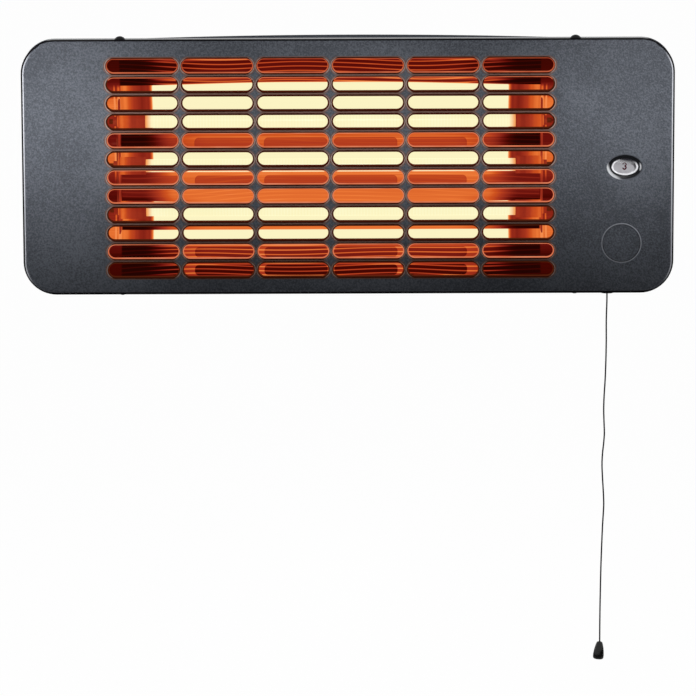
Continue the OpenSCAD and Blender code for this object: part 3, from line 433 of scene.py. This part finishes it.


# glow inside: the glowing tubes, and painted glow and reflections on what they light
glowColours = [               # colours of the painted glow, from dark to white-hot
    (0.00, (0.004, 0.0004, 0.0003)), (0.10, (0.020, 0.0012, 0.0005)),
    (0.20, (0.060, 0.002, 0.0006)), (0.30, (0.138, 0.006, 0.004)),
    (0.42, (0.27, 0.020, 0.009)), (0.55, (0.42, 0.040, 0.013)),
    (0.68, (0.62, 0.085, 0.014)), (0.80, (0.86, 0.20, 0.040)), (0.87, (0.93, 0.34, 0.12)),
    (0.92, (0.965, 0.87, 0.50)), (1.00, (0.975, 0.935, 0.60)),
]
# painted reflections on the reflector sheet
mirror = {
    "half": 90,               # mm up and down that the rows cover
    "rows": [                 # height as seen from the front in mm, glow level of the painted reflection from 0 to 1
        (90, 0.26), (86.3, 0.6), (85, 0.24), (80, 0.25), (75.5, 0.27), (74.6, 0.6), (72, 0.66),
        (70.6, 0.36), (69.2, 0.28), (68.7, 0.66), (68.1, 0.96), (30.5, 0.96), (29.8, 0.62),
        (24, 0.74), (22, 0.71), (14.9, 0.67), (14.2, 0.96), (-2.9, 0.96), (-3.5, 0.78),
        (-12, 0.70), (-16, 0.74), (-25.6, 0.76), (-26.3, 0.96), (-44.6, 0.96), (-45.1, 0.76),
        (-47.8, 0.74), (-48.4, 0.96), (-58.6, 0.96), (-59.4, 0.6), (-72, 0.55), (-90, 0.5),
    ],
    "endRows": [              # the same beyond the end caps
        (90, 0.15), (76, 0.2), (70, 0.28), (66, 0.42), (60, 0.46), (57, 0.74), (46, 0.80),
        (43, 0.42), (31, 0.4), (27, 0.3), (15, 0.3), (13, 0.76), (2, 0.72), (-2, 0.42),
        (-12, 0.3), (-24, 0.22), (-30, 0.36), (-42, 0.42), (-45, 0.76), (-57, 0.74),
        (-60, 0.3), (-68, 0.2), (-90, 0.15),
    ],
    "slots": [                # painted reflections of the slots: middle and half height, how much darker
        (19.6, 4.6, 0.13), (-9.8, 3.7, 0.14), (-66.2, 4.0, 0.22), (-80.6, 4.0, 0.34),
    ],
    "shrink": 1.075,          # they look smaller than they are
    "slotStart": 1.5, "slotEnd": 1.4, "drift": 0.055, "slotRim": 0.12,
    "cornerX": 4.4, "cornerZ": 3.2, "cornerEdge": (3.6, 2.7),
    "lift": (50, 90, 3.3, 0.4),           # a row is seen this much higher, less far out
    "bow": (30, 170),         # mm from the middle over which the rows bend
    "topBow": 2.4, "topRows": (40, 60), "lowBow": 3.0, "lowRow": -27, "lowRows": (9, 4),
    "tube": (0.84, 0.92),     # glow level from which a row shows a painted reflection of a tube
    "brightest": 0.82, "brightestEnd": 0.83,  # brightest painted reflection, for all that isn't a tube
    "tubeEnd": (138.6, 143.2), "gapEnd": (122, 149),
    "dimming": 0.09, "dimmingReach": (95, 125),
    "capReach": (149, 162), "capGlow": (0.42, 0.22, 0.34),    # all over, stripes, outwards
    "gapGlow": (0.07, 0.10, 0.24),        # all over, threads, between the lower tubes
    "plate": (163.8, 165.2),
    "seams": ((166, 1.5, 0.4), (169.3, 0.9, 0.3)), "seamGlow": 0.3,
}
streaks = {                   # painted streaks in the sheet's reflection, with their scale along x, y and z
    "flow": (7, 30, 14), "flowBend": 0.2, "wander": 8, "threads": 0.6, "threadEdge": (0.55, 1.0),
    "patch": (14, 30, 40), "patchEdge": (0.40, 0.60), "patchGlow": 0.05,
    "outerRow": -2, "outer": (56, 62), "outerGlow": 0.42,
    "innerRow": -14.6, "inner": (17, 9),
    "fine": (4, 90, 1300), "fineGlow": 0.14, "endGlow": 0.1, "caps": (220, 1, 3),
}
tubes = {                     # mm from the middle, or up and down
    "pitch": 35, "dull": (139, 145.5), "end": (150, 154),
    "wave": 2.6, "waveHeat": 0.2,         # shimmer of the wire's turns
    "white": ((0.962, 0.900, 0.535), (0.975, 0.935, 0.60)),
    "orange": (0.90, 0.32, 0.08), "red": (0.10, 0.012, 0.003),
    "near": (13, 4), "reach": (56, 44),   # where their painted glow falls on what stands beside them
}
ceramic = {
    "heat": 0.42, "bands": 0.24, "speck": 0.05, "outward": 0.26, "reach": (152, 164),
    "bandScale": (220, 30, 8), "speckScale": 500,
}


def rowStops(rows):
    return [((mirror["half"] - height) / (2 * mirror["half"]), (heat, heat, heat))
            for height, heat in rows]


def mirroredSlot(paint, across, up, half):
    # 1 inside, with round corners; across is the way in from its end
    reach = paint.length(paint.atLeast(mirror["cornerX"] - across, 0.0),
                         paint.atLeast(abs(up) - (half - mirror["cornerZ"]), 0.0))
    return paint.ramp(reach, *mirror["cornerEdge"])


def glowingSheet(name):
    # polished sheet with painted reflections of the tubes, the hot inside and the slots, as rows
    paint = Paint(name, colour=(0.004, 0.0006, 0.0003), rough=0.35, glowStrength=1.0, shine=0.0)
    spot, x, _, height = paint.place()
    wide = paint.fromMiddle(x)
    bow = paint.ramp(wide, *mirror["bow"])
    lowRow = paint.ramp(abs(height - mirror["lowRow"]), *mirror["lowRows"])
    seen = height + paint.ramp(abs(height), *mirror["lift"])
    seen = seen + bow * mirror["topBow"] * paint.ramp(height, *mirror["topRows"])
    seen = seen + (1 - bow) * mirror["lowBow"] * lowRow
    row = (mirror["half"] - seen) / (2 * mirror["half"])

    # painted streaks in the reflection along the sheet
    flow = paint.noise(spot, 1.0, 0, 0.5, streaks["flow"], streaks["flowBend"])
    wave = paint.fold(height * streaks["threads"] + flow * streaks["wander"], 1.0)
    threads = paint.ramp(wave, *streaks["threadEdge"])
    patch = paint.ramp(paint.noise(spot, 1.0, 1, 0.5, streaks["patch"]), *streaks["patchEdge"])
    fine = paint.noise(spot, 1.0, 1, 0.5, streaks["fine"]) - 0.5
    outer = paint.ramp(abs(height - streaks["outerRow"]), *streaks["outer"])
    inner = paint.ramp(abs(height - streaks["innerRow"]), *streaks["inner"])

    # between the caps
    heat = paint.colours(row, rowStops(mirror["rows"]))
    tube = paint.ramp(heat, *mirror["tube"])
    pitch = mm(grille["pitchX"])
    along = paint.math("MODULO", wide * mirror["shrink"], pitch)
    across = paint.atMost(along - mirror["slotStart"] - wide * mirror["drift"],
                          pitch - mirror["slotEnd"] - along)
    for middle, half, drop in mirror["slots"]:
        inside = mirroredSlot(paint, across, seen - middle, half)
        edge = inside * (1 - inside) * 4
        heat = heat - (inside * drop + edge * mirror["slotRim"]) * (1 - tube)
    threaded = threads * (patch * streaks["patchGlow"] + outer * streaks["outerGlow"])
    streaked = heat + threaded + fine * streaks["fineGlow"]
    heat = paint.choose(tube, paint.atMost(streaked, mirror["brightest"]), heat)
    dimmed = (1 - inner) * paint.ramp(wide, *mirror["dimmingReach"]) * mirror["dimming"]
    heat = heat - (1 - tube) * dimmed

    # painted reflection of the caps, then beyond them
    stripes = paint.noise(spot, 1.0, 2, 0.5, streaks["caps"]) - 0.5
    plain, striped, outward = mirror["capGlow"]
    bright = plain + stripes * striped + paint.ramp(wide, *mirror["capReach"]) * outward
    plain, threaded, between = mirror["gapGlow"]
    dim = plain + threads * threaded + inner * between
    caps = paint.choose(tube, dim, bright)
    ends = paint.colours(row, rowStops(mirror["endRows"]))
    first, second = (
        paint.ramp(abs(wide - place), far, near) for place, far, near in mirror["seams"])
    seam = (first + second) * mirror["seamGlow"] * paint.ramp(ends, 0.3, 0.4)
    ends = paint.atMost(ends + fine * streaks["endGlow"] + seam, mirror["brightestEnd"])
    caps = paint.choose(paint.ramp(wide, *mirror["plate"]), caps, ends)
    reach = paint.choose(
        tube, paint.ramp(wide, *mirror["gapEnd"]), paint.ramp(wide, *mirror["tubeEnd"]))
    # the painted reflections, as glow
    paint.drive(glow=paint.colours(paint.choose(reach, heat, caps), glowColours))
    return paint


def tubeGlow(name):
    # quartz and wire, white-hot between the caps and dark beyond them
    paint = Paint(name, colour=(0.02, 0.008, 0.003), rough=0.2, glowStrength=1.0, shine=0.03)
    spot, x, _, _ = paint.place()
    wide = paint.fromMiddle(x)
    wave = paint.math("SINE", x * tubes["wave"])
    hot = wave * tubes["waveHeat"] + paint.noise(spot, 30, 2)
    lit = paint.blend(paint.ramp(hot, 0.2, 0.9), *tubes["white"])
    lit = paint.blend(paint.ramp(wide, *tubes["dull"]), lit, tubes["orange"])
    paint.drive(glow=paint.blend(paint.ramp(wide, *tubes["end"]), lit, tubes["red"]))
    return paint


def ceramicPaintedGlow(name):
    # caps lit by the tubes: painted glow in bands and specks, brighter outwards
    paint = Paint(name, colour=(0.012, 0.004, 0.002), rough=0.7, glowStrength=1.0, shine=0.0)
    spot, x, _, _ = paint.place()
    bands = paint.noise(spot, 1.0, 2, 0.5, ceramic["bandScale"]) - 0.5
    speck = paint.noise(spot, ceramic["speckScale"], 3)
    outward = paint.ramp(paint.fromMiddle(x), *ceramic["reach"]) * ceramic["outward"]
    heat = ceramic["heat"] + bands * ceramic["bands"] + speck * ceramic["speck"] + outward
    paint.drive(glow=paint.colours(heat, glowColours), normal=paint.bump(speck, 0.3, 0.0002))
    return paint


def warmMetal(name, base, heat, metal=0.2):
    # bare metal beside the tubes, with painted red glow from them
    paint = Paint(name, metal=metal, glowStrength=1.0, shine=0.0)
    spot, _, _, z = paint.place()
    smear = paint.noise(spot, 90, 3, 0.6)
    # painted glow, stronger near each tube
    near = paint.ramp(paint.fold(abs(z), tubes["pitch"] / 2), *tubes["near"])
    near = near * paint.ramp(abs(z), *tubes["reach"])
    glow = (heat - 0.1 + smear * 0.2) * (0.75 + near * 0.25)
    paint.drive(
        colour=paint.blend(paint.vary(smear), tuple(c * 0.8 for c in base), base),
        glow=paint.colours(glow, glowColours), rough=paint.vary(smear, 0.5, 0.7))
    return paint


# plain metal, moulded plastic and cord
def plainMetal(name, base):
    paint = Paint(name, metal=0.9)
    spot = paint.place()[0]
    scratch = paint.noise(spot, 1.0, 3, 0.6, (200, 1800, 200))
    smear = paint.noise(spot, 70, 3, 0.6)
    paint.drive(
        colour=paint.blend(paint.vary(smear), tuple(c * 0.85 for c in base), base),
        rough=paint.vary(scratch, 0.27, 0.44), normal=paint.bump(scratch, 0.15, 0.00005))
    return paint


def moulded(name, base, rough=0.5, grainSize=700, shine=0.4):
    paint = Paint(name, shine=shine)
    spot = paint.place()[0]
    grain = paint.noise(spot, grainSize, 2, 0.5)
    cloud = paint.noise(spot, 60, 2, 0.5)
    dark, light = (tuple(c * level for c in base) for level in (0.9, 1.08))
    paint.drive(
        colour=paint.blend(paint.vary(cloud), dark, light),
        rough=paint.vary(grain, rough - 0.05, rough + 0.08), normal=paint.bump(grain, 0.2, 0.00006))
    return paint


def braidedCord(name, dark, light):
    paint = Paint(name, shine=0.08)
    spot, x, _, z = paint.place()
    strand = paint.math("SINE", (z * 2 + x) * 5.2)
    fuzz = paint.noise(spot, 1800, 2)
    paint.drive(
        colour=paint.blend(paint.ramp(strand * 0.5 + fuzz, 0.1, 0.9), dark, light),
        rough=paint.vary(fuzz, 0.6, 0.8), normal=paint.bump(strand, 0.4, 0.0001))
    return paint


coverPaint = hammeredPaint(
    "hammeredCharcoal", (0.053, 0.058, 0.069), (0.100, 0.109, 0.128), 0.06, besideSlots=True)
# a slightly darker copy of the same paint, without shine: painted shade on the rear shell, lugs and
# bracket
backPaint = hammeredPaint(
    "hammeredCharcoalBack", (0.050, 0.054, 0.064), (0.092, 0.099, 0.115), 0.0)
rimFinish = rimPaint("rimCharcoal", (0.056, 0.060, 0.071), (0.104, 0.112, 0.130))
lipFinish = lipPaint("slotLipPaint", (0.060, 0.030, 0.022), (0.27, 0.205, 0.185))
ringPaint = ringFinish("hammeredRing", (0.010, 0.011, 0.013), (0.22, 0.23, 0.26))
dishFinish = dishPaintedLight("dishCharcoal", (0.004, 0.004, 0.005), (0.012, 0.013, 0.015))
lensFinish = clearLens("clearLens", (0.02, 0.02, 0.025), (0.78, 0.78, 0.81))
dialFinish = dialFace(
    "dialFace", (0.31, 0.305, 0.325), (0.37, 0.365, 0.385), (0.045, 0.001, 0.008))
mirrorGlow = glowingSheet("glowingReflector")
tubeFinish = tubeGlow("litQuartz")
capFinish = ceramicPaintedGlow("ceramicPaintedGlow")
supportFinish = warmMetal("warmSheet", (0.020, 0.006, 0.003), 0.58)
brassFinish = warmMetal("warmBrass", (0.030, 0.012, 0.004), 0.42)
warmZinc = warmMetal("warmZinc", (0.030, 0.010, 0.006), 0.68)
darkSleeve = warmMetal("darkSleeve", (0.012, 0.006, 0.004), 0.40, 0.0)
coldBrass = plainMetal("bareBrass", (0.62, 0.47, 0.2))
zincFinish = plainMetal("zincPlate", (0.55, 0.56, 0.58))
screwFinish = moulded("blackScrew", (0.004, 0.004, 0.0045), 0.4, 900, 0.1)
blackMoulding = moulded("blackMoulding", (0.012, 0.012, 0.013), 0.5, 700, 0.25)
knobFinish = moulded("glossyBlack", (0.002, 0.002, 0.002), 0.16, 500, 0.35)
switchFinish = moulded("switchMoulding", (0.66, 0.60, 0.48), 0.55)
leverFinish = moulded("leverMoulding", (0.28, 0.06, 0.045))
sealFinish = moulded("sealRubber", (0.02, 0.02, 0.02), 0.75)
redLead = moulded("redSleeve", (0.42, 0.05, 0.03))
brownLead = moulded("brownSleeve", (0.14, 0.06, 0.03))
greenLead = moulded("greenSleeve", (0.12, 0.32, 0.06))
cordFinish = braidedCord("braidedCord", (0.002, 0.002, 0.002), (0.010, 0.010, 0.011))
print("finishes made")

finished = (
    (backPaint, "rear_shell", "tilt_lug_left", "tilt_lug_right", "wall_bracket"),
    (screwFinish, "rim_screws"),
    (zincFinish, "cover_studs", "lug_rivets", "switch_posts", "switch_screws", "earth_stud",
     "tilt_bolt_left", "tilt_bolt_right", "tilt_washers", "return_spring"),
    (warmZinc, "reflector_nuts"),
    (mirrorGlow, "reflector"),
    (supportFinish, "reflector_end_left", "reflector_end_right", "tube_support_left",
     "tube_support_right"),
    (tubeFinish, "quartz_tube_top", "quartz_tube_middle", "quartz_tube_bottom",
     "heating_coil_top", "heating_coil_middle", "heating_coil_bottom"),
    (capFinish, "end_cap_top_left", "end_cap_middle_left", "end_cap_bottom_left",
     "end_cap_top_right", "end_cap_middle_right", "end_cap_bottom_right"),
    (brassFinish, "terminal_nuts", "link_strip"),
    (coldBrass, "switch_contacts", "terminal_screws"),
    (blackMoulding, "lens_retainer", "cord_bush", "gland_body", "gland_nut", "gland_locknut",
     "wing_nut_left", "wing_nut_right"),
    (sealFinish, "gland_seal"),
    (lensFinish, "window_lens"),
    (dialFinish, "indicator_disc"),
    (switchFinish, "ratchet_wheel", "switch_shaft", "switch_lid", "switch_body", "terminal_block"),
    (leverFinish, "pull_lever"),
    (cordFinish, "pull_cord_inner"),
    (redLead, "tube_leads"), (brownLead, "supply_lead"), (darkSleeve, "return_lead"),
    (greenLead, "earth_lead"),
)
for paint, *names in finished:
    for name in names:
        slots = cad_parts[name].data.materials
        slots.clear()
        slots.append(paint.material)


# shapes
def addLoops(mesh, loops):
    # joins closed rings of points, each drawn anticlockwise as seen from the front
    rings = [[mesh.verts.new(p) for p in loop] for loop in loops]
    for first, second in zip(rings, rings[1:]):
        for k in range(len(first)):
            n = (k + 1) % len(first)
            mesh.faces.new((first[k], first[n], second[n], second[k]))
    return rings


def makePiece(name, mesh, paint, body, replaced, smooth=True):
    data = bpy.data.meshes.new(name)
    mesh.to_mesh(data)
    mesh.free()
    data.materials.append(paint.material)
    for face in data.polygons:
        face.use_smooth = smooth
    piece = bpy.data.objects.new(name, data)
    bpy.context.collection.objects.link(piece)
    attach(piece, body)
    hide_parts(replaced)
    return piece


def makeCoverPiece(name, mesh, paint, smooth=True):
    makePiece(name, mesh, paint, "heater", "front_cover", smooth)


def arcPoints(cx, cz, radius, start, end, count):
    for k in range(count + 1):
        a = math.radians(start + (end - start) * k / count)
        yield cx + radius * math.cos(a), cz + radius * math.sin(a)


def roundEdge(radius, steps):
    # from the face over a round edge to the wall behind it, as inset and depth
    for k in range(steps + 1):
        a = math.pi / 2 * k / steps
        yield radius - radius * math.sin(a), radius - radius * math.cos(a)


def slotRing(cx, cz, grow, depth):
    half = (grille["slotWidth"] - grille["slotHeight"]) / 2
    radius = grille["slotHeight"] / 2 + grow
    points = [*arcPoints(cx + half, cz, radius, -90, 90, fineness["slotEnd"]),
              *arcPoints(cx - half, cz, radius, 90, 270, fineness["slotEnd"])]
    return [(px, toWorld(depth), pz) for px, pz in points]


def plateRing(inset, depth):
    halfX, halfZ = case["width"] / 2 - case["corner"], case["height"] / 2 - case["corner"]
    radius = case["corner"] - inset
    points = []
    for sx, sz, start in ((1, -1, -90), (1, 1, 0), (-1, 1, 90), (-1, -1, 180)):
        points += arcPoints(
            sx * halfX, sz * halfZ, radius, start, start + 90, fineness["corner"])
    return [(px, toWorld(depth), pz) for px, pz in points]


def ovalRing(cx, cz, width, height, depth, count):
    angles = (2 * math.pi * k / count for k in range(count))
    return [(cx + width / 2 * math.cos(a), toWorld(depth), cz + height / 2 * math.sin(a))
            for a in angles]


def windowRing(grow, depth):
    return ovalRing(window["x"], 0.0, window["lensWidth"] + 2 * grow,
                    window["lensHeight"] + 2 * grow, depth, fineness["window"])


def slotPlaces():
    for column in range(grille["columns"]):
        for row in range(grille["rows"]):
            yield (grille["middle"] + (column - (grille["columns"] - 1) / 2) * grille["pitchX"],
                   (row - (grille["rows"] - 1) / 2) * grille["pitchZ"])


def makeCoverFace():
    # flat plate with its openings, filled between outlines
    outline = bpy.data.curves.new("coverOutline", "CURVE")
    outline.dimensions, outline.fill_mode = "2D", "BOTH"
    outline.extrude = case["sheet"] / 2
    rings = [plateRing(case["bend"], 0)]
    rings += [slotRing(cx, cz, grille["lipRound"], 0) for cx, cz in slotPlaces()]
    rings.append(windowRing(window["edge"] + grille["lipRound"], 0))
    for points in rings:
        spline = outline.splines.new("POLY")
        spline.points.add(len(points) - 1)
        for point, (px, _, pz) in zip(spline.points, points):
            point.co = (px, pz, 0, 1)
        spline.use_cyclic_u = True
    flat = bpy.data.objects.new("coverOutline", outline)
    bpy.context.collection.objects.link(flat)
    graph = bpy.context.evaluated_depsgraph_get()
    shape = bpy.data.meshes.new_from_object(flat.evaluated_get(graph))
    mesh = bmesh.new()
    mesh.from_mesh(shape)
    bpy.data.objects.remove(flat)
    bpy.data.meshes.remove(shape)
    for vert in mesh.verts:
        px, pz, py = vert.co
        vert.co = (px, toWorld(case["sheet"] / 2) - py, pz)
    makeCoverPiece("coverFace", mesh, coverPaint, smooth=False)


def makeCoverRim():
    mesh = bmesh.new()
    sheet, back = case["sheet"], case["rimDepth"]
    inner = [(sheet + i, sheet + d)
             for i, d in roundEdge(case["bend"] - sheet, fineness["innerBend"])]
    profile = [*roundEdge(case["bend"], fineness["bend"]), (0, back - case["rimEdge"]),
               (case["rimEdge"], back), (sheet, back), *reversed(inner)]
    addLoops(mesh, [plateRing(inset, depth) for inset, depth in profile])
    makeCoverPiece("coverRim", mesh, rimFinish)


def makeSlotLips():
    mesh = bmesh.new()
    wall, back, edge, lean = (grille[k] for k in ("lipWall", "lipDepth", "lipEdge", "lipLean"))
    profile = [*roundEdge(grille["lipRound"], fineness["lip"]), (-lean, back - edge),
               (edge - lean, back), (wall - edge, back), (wall, back - edge),
               (wall, case["sheet"])]
    for cx, cz in slotPlaces():
        addLoops(mesh, [slotRing(cx, cz, grow, depth) for grow, depth in profile])
    makeCoverPiece("slotLips", mesh, lipFinish)


def makeWindowDish():
    mesh = bmesh.new()
    edge, floor, gap = window["edge"], window["depth"], window["clearance"]
    soft = grille["lipEdge"]
    profile = [(edge + i, d) for i, d in roundEdge(grille["lipRound"], fineness["lip"])]
    profile += [(edge, floor - 3 * soft), (edge - soft, floor - soft), (edge - 3 * soft, floor),
                (gap + soft, floor), (gap, floor + soft), (gap, floor + case["sheet"])]
    addLoops(mesh, [windowRing(grow, depth) for grow, depth in profile])
    makeCoverPiece("windowDish", mesh, dishFinish)


def makePlainRing():
    mesh = bmesh.new()
    line, rise, foot = ring["line"], ring["rise"], grille["lipEdge"]
    flank = [(0, foot), (0, 0), (line * 0.12, -rise * 0.7), (line * 0.35, -rise)]
    profile = flank + [(line - inset, depth) for inset, depth in reversed(flank)]
    across = [(2 * (ring["radius"] - inset), depth) for inset, depth in profile]
    addLoops(mesh, [ovalRing(ring["x"], ring["z"], width, width, depth, fineness["ring"])
                    for width, depth in across])
    makeCoverPiece("plainRing", mesh, ringPaint)


# cord and knob
cord = {
    "exit": (0.20353, -0.09445, -0.1017), "diameter": 0.0012,
    "route": [                # millimetres from the exit
        (0, 0, 0), (0, 0, -6), (-0.4, 0, -22), (-0.3, 0.2, -38), (-0.5, 0.4, -54),
        (-1, 0.6, -70), (-1.7, 0.5, -82), (-2, 0.2, -93), (-1.7, -0.2, -103.5),
        (-1.4, -0.5, -112), (-1.9, -0.6, -120), (-2.8, -0.4, -129), (-3.1, 0, -138),
        (-2.6, 0.4, -148.5), (-1.9, 0.6, -159.5), (-1.5, 0.5, -169.5), (-1.9, 0.2, -178.5),
        (-2.4, 0, -187.5), (-3, -0.2, -203.5), (-3.5, -0.3, -220.5), (-3.8, -0.2, -238),
        (-4, 0, -254), (-4.1, 0, -269.5), (-4.1, 0, -281.4),
    ],
    "steps": 3,               # pieces between two points
}
knob = {
    "lean": 5,                # degrees
    "profile": [              # radius and drop, millimetres
        (0.01, 0.0), (1.0, 0.0), (1.3, 0.06), (1.95, 0.4), (2.3, 0.85), (2.55, 1.5), (2.92, 2.8),
        (3.2, 3.8), (3.45, 4.7), (3.87, 7.0), (4.17, 9.5), (4.28, 10.8), (4.3, 11.5), (4.27, 12.3),
        (4.17, 13.0), (3.95, 13.6), (3.6, 13.95), (3.1, 14.0), (2.65, 13.9), (2.35, 13.3),
        (2.05, 11.9), (0.01, 11.2),
    ],
}


def smoothRoute(points, steps):
    # passes through every point, as the solid's own line does
    line = []
    for i in range(len(points) - 1):
        a, b, c, d = (Vector(points[max(0, min(len(points) - 1, i + k))]) for k in (-1, 0, 1, 2))
        for k in range(steps):
            t = k / steps
            line.append(0.5 * (2 * b + (c - a) * t + (2 * a - 5 * b + 4 * c - d) * t * t
                               + (3 * b - a - 3 * c + d) * t ** 3))
    return line + [Vector(points[-1])]


def makeKnob(top):
    mesh = bmesh.new()
    angles = [2 * math.pi * k / fineness["knob"] for k in range(fineness["knob"])]
    rings = addLoops(mesh, [
        [(r / 1000 * math.cos(a), r / 1000 * math.sin(a), -drop / 1000) for a in angles]
        for r, drop in knob["profile"]])
    mesh.faces.new(rings[0])
    mesh.faces.new(reversed(rings[-1]))
    mesh.transform(Matrix.Translation(top) @ Matrix.Rotation(math.radians(knob["lean"]), 4, "Y"))
    bmesh.ops.recalc_face_normals(mesh, faces=mesh.faces)
    return makePiece("pullKnob", mesh, knobFinish, "cord_hang", "pull_knob")


def makeCord():
    line = [Vector(cord["exit"]) + p / 1000 for p in smoothRoute(cord["route"], cord["steps"])]
    curve = bpy.data.curves.new("pullCord", "CURVE")
    curve.dimensions = "3D"
    curve.bevel_depth, curve.bevel_resolution = cord["diameter"] / 2, 3
    curve.use_fill_caps = True
    spline = curve.splines.new("POLY")
    spline.points.add(len(line) - 1)
    for point, place in zip(spline.points, line):
        point.co = (*place, 1)
    curve.materials.append(cordFinish.material)
    piece = bpy.data.objects.new("pullCord", curve)
    bpy.context.collection.objects.link(piece)
    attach(piece, "cord_hang")
    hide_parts("pull_cord")
    bell = makeKnob(line[-1])
    length = sum((b - a).length for a, b in zip(line, line[1:]))
    print("cord", round(length, 4), "m long")


makeCord()
makeCoverFace()
makeCoverRim()
makeSlotLips()
makeWindowDish()
makePlainRing()
print("cover, knob and cord made")


# studio
studio = {
    "worldLight": 0.05, "floorHeight": -0.75, "floorSize": 12,
    "floorColour": (0.9, 0.9, 0.9), "floorWhite": 0.985,      # how white the camera sees it
    "strips": [               # name, place, aimed at, width, height, watts
        ("leftStrip", (-1.2, -0.16, 0.10), (-0.25, -0.1, 0), 0.20, 1.3, 6.0),
        ("rightStrip", (1.2, -0.16, 0.10), (0.25, -0.1, 0), 0.20, 1.3, 5.0),
        ("above", (0, 0.05, 1.1), (0, -0.06, 0.1), 1.2, 0.4, 1.7),
        ("behind", (0.0, 1.9, 0.9), (0, 0, 0), 1.6, 1.2, 20.0),
    ],
    "spots": [                # name, place, aimed at, cone in degrees, watts, width to height
        ("leftSpot", (-0.55, -1.9, 0.75), (-0.236, -0.107, 0.046), 5.2, 150.0, 1.0),
        ("leftWash", (-0.55, -1.9, 0.75), (-0.234, -0.107, 0.044), 9.4, 142.0, 1.0),
        ("rightSpot", (0.55, -1.9, 0.75), (0.227, -0.107, 0.052), 5.2, 112.0, 1.0),
        ("rightWash", (0.55, -1.9, 0.75), (0.230, -0.107, 0.050), 9.0, 110.0, 1.0),
        ("middleSpot", (0.0, -1.9, 0.75), (0.0, -0.107, 0.045), 5.0, 58.0, 1.6),
        ("middleWash", (0.0, -1.9, 0.75), (0.0, -0.107, 0.045), 8.7, 88.0, 1.6),
    ],
    "spotSize": 0.04,
}


def hangLamp(name, lamp, place, aim):
    holder = bpy.data.objects.new(name, lamp)
    holder.location = place
    holder.rotation_euler = (Vector(aim) - Vector(place)).to_track_quat("-Z", "Y").to_euler()
    holder.visible_camera = False
    bpy.context.collection.objects.link(holder)
    return holder


def hangLamps():
    for name, place, aim, width, height, power in studio["strips"]:
        lamp = bpy.data.lights.new(name, "AREA")
        lamp.shape, lamp.size, lamp.size_y, lamp.energy = "RECTANGLE", width, height, power
        hangLamp(name, lamp, place, aim).visible_glossy = False
    for name, place, aim, cone, power, stretch in studio["spots"]:
        lamp = bpy.data.lights.new(name, "SPOT")
        lamp.spot_size, lamp.spot_blend = math.radians(cone), 1.0
        lamp.shadow_soft_size, lamp.energy = studio["spotSize"], power
        hangLamp(name, lamp, place, aim).scale = (stretch, 1, 1)


def makeWorld():
    # white to look at and in reflections, and a faint light on all else
    world = bpy.data.worlds.new("studioWorld")
    bpy.context.scene.world = world
    world.use_nodes = True
    nodes = Nodes(world.node_tree)
    camera, glossy, through = (
        nodes.node("ShaderNodeLightPath", output="Is " + kind + " Ray")
        for kind in ("Camera", "Glossy", "Transmission"))
    white = nodes.math("MAXIMUM", nodes.math("MAXIMUM", camera, glossy), through)
    level = nodes.node("ShaderNodeMapRange", {}, {"Value": white, "To Min": studio["worldLight"]})
    background = world.node_tree.nodes["Background"]
    nodes.feed(background.inputs["Strength"], level)
    nodes.feed(background.inputs["Color"], (1, 1, 1, 1))


def makeFloor():
    mesh = bmesh.new()
    bmesh.ops.create_grid(mesh, x_segments=4, y_segments=4, size=studio["floorSize"])
    data = bpy.data.meshes.new("paleFloor")
    mesh.to_mesh(data)
    mesh.free()
    floor = bpy.data.objects.new("paleFloor", data)
    floor.location = (0, 0, studio["floorHeight"])
    bpy.context.collection.objects.link(floor)
    paint = Paint("paleFloor", colour=studio["floorColour"], rough=0.9, shine=0.0)
    camera = paint.node("ShaderNodeLightPath", output="Is Camera Ray")
    white = paint.node("ShaderNodeEmission", {}, {"Color": (1, 1, 1, 1), "Strength": 1.0})
    lit = Signal(paint, paint.shader.outputs[0])
    mixed = paint.node("ShaderNodeMixShader", {}, {
        0: camera * studio["floorWhite"], 1: lit, 2: white})
    paint.feed(paint.tree.nodes["Material Output"].inputs["Surface"], mixed)
    data.materials.append(paint.material)


hangLamps()
makeWorld()
makeFloor()
bpy.context.scene.view_settings.view_transform = "Standard"
print("studio lit")
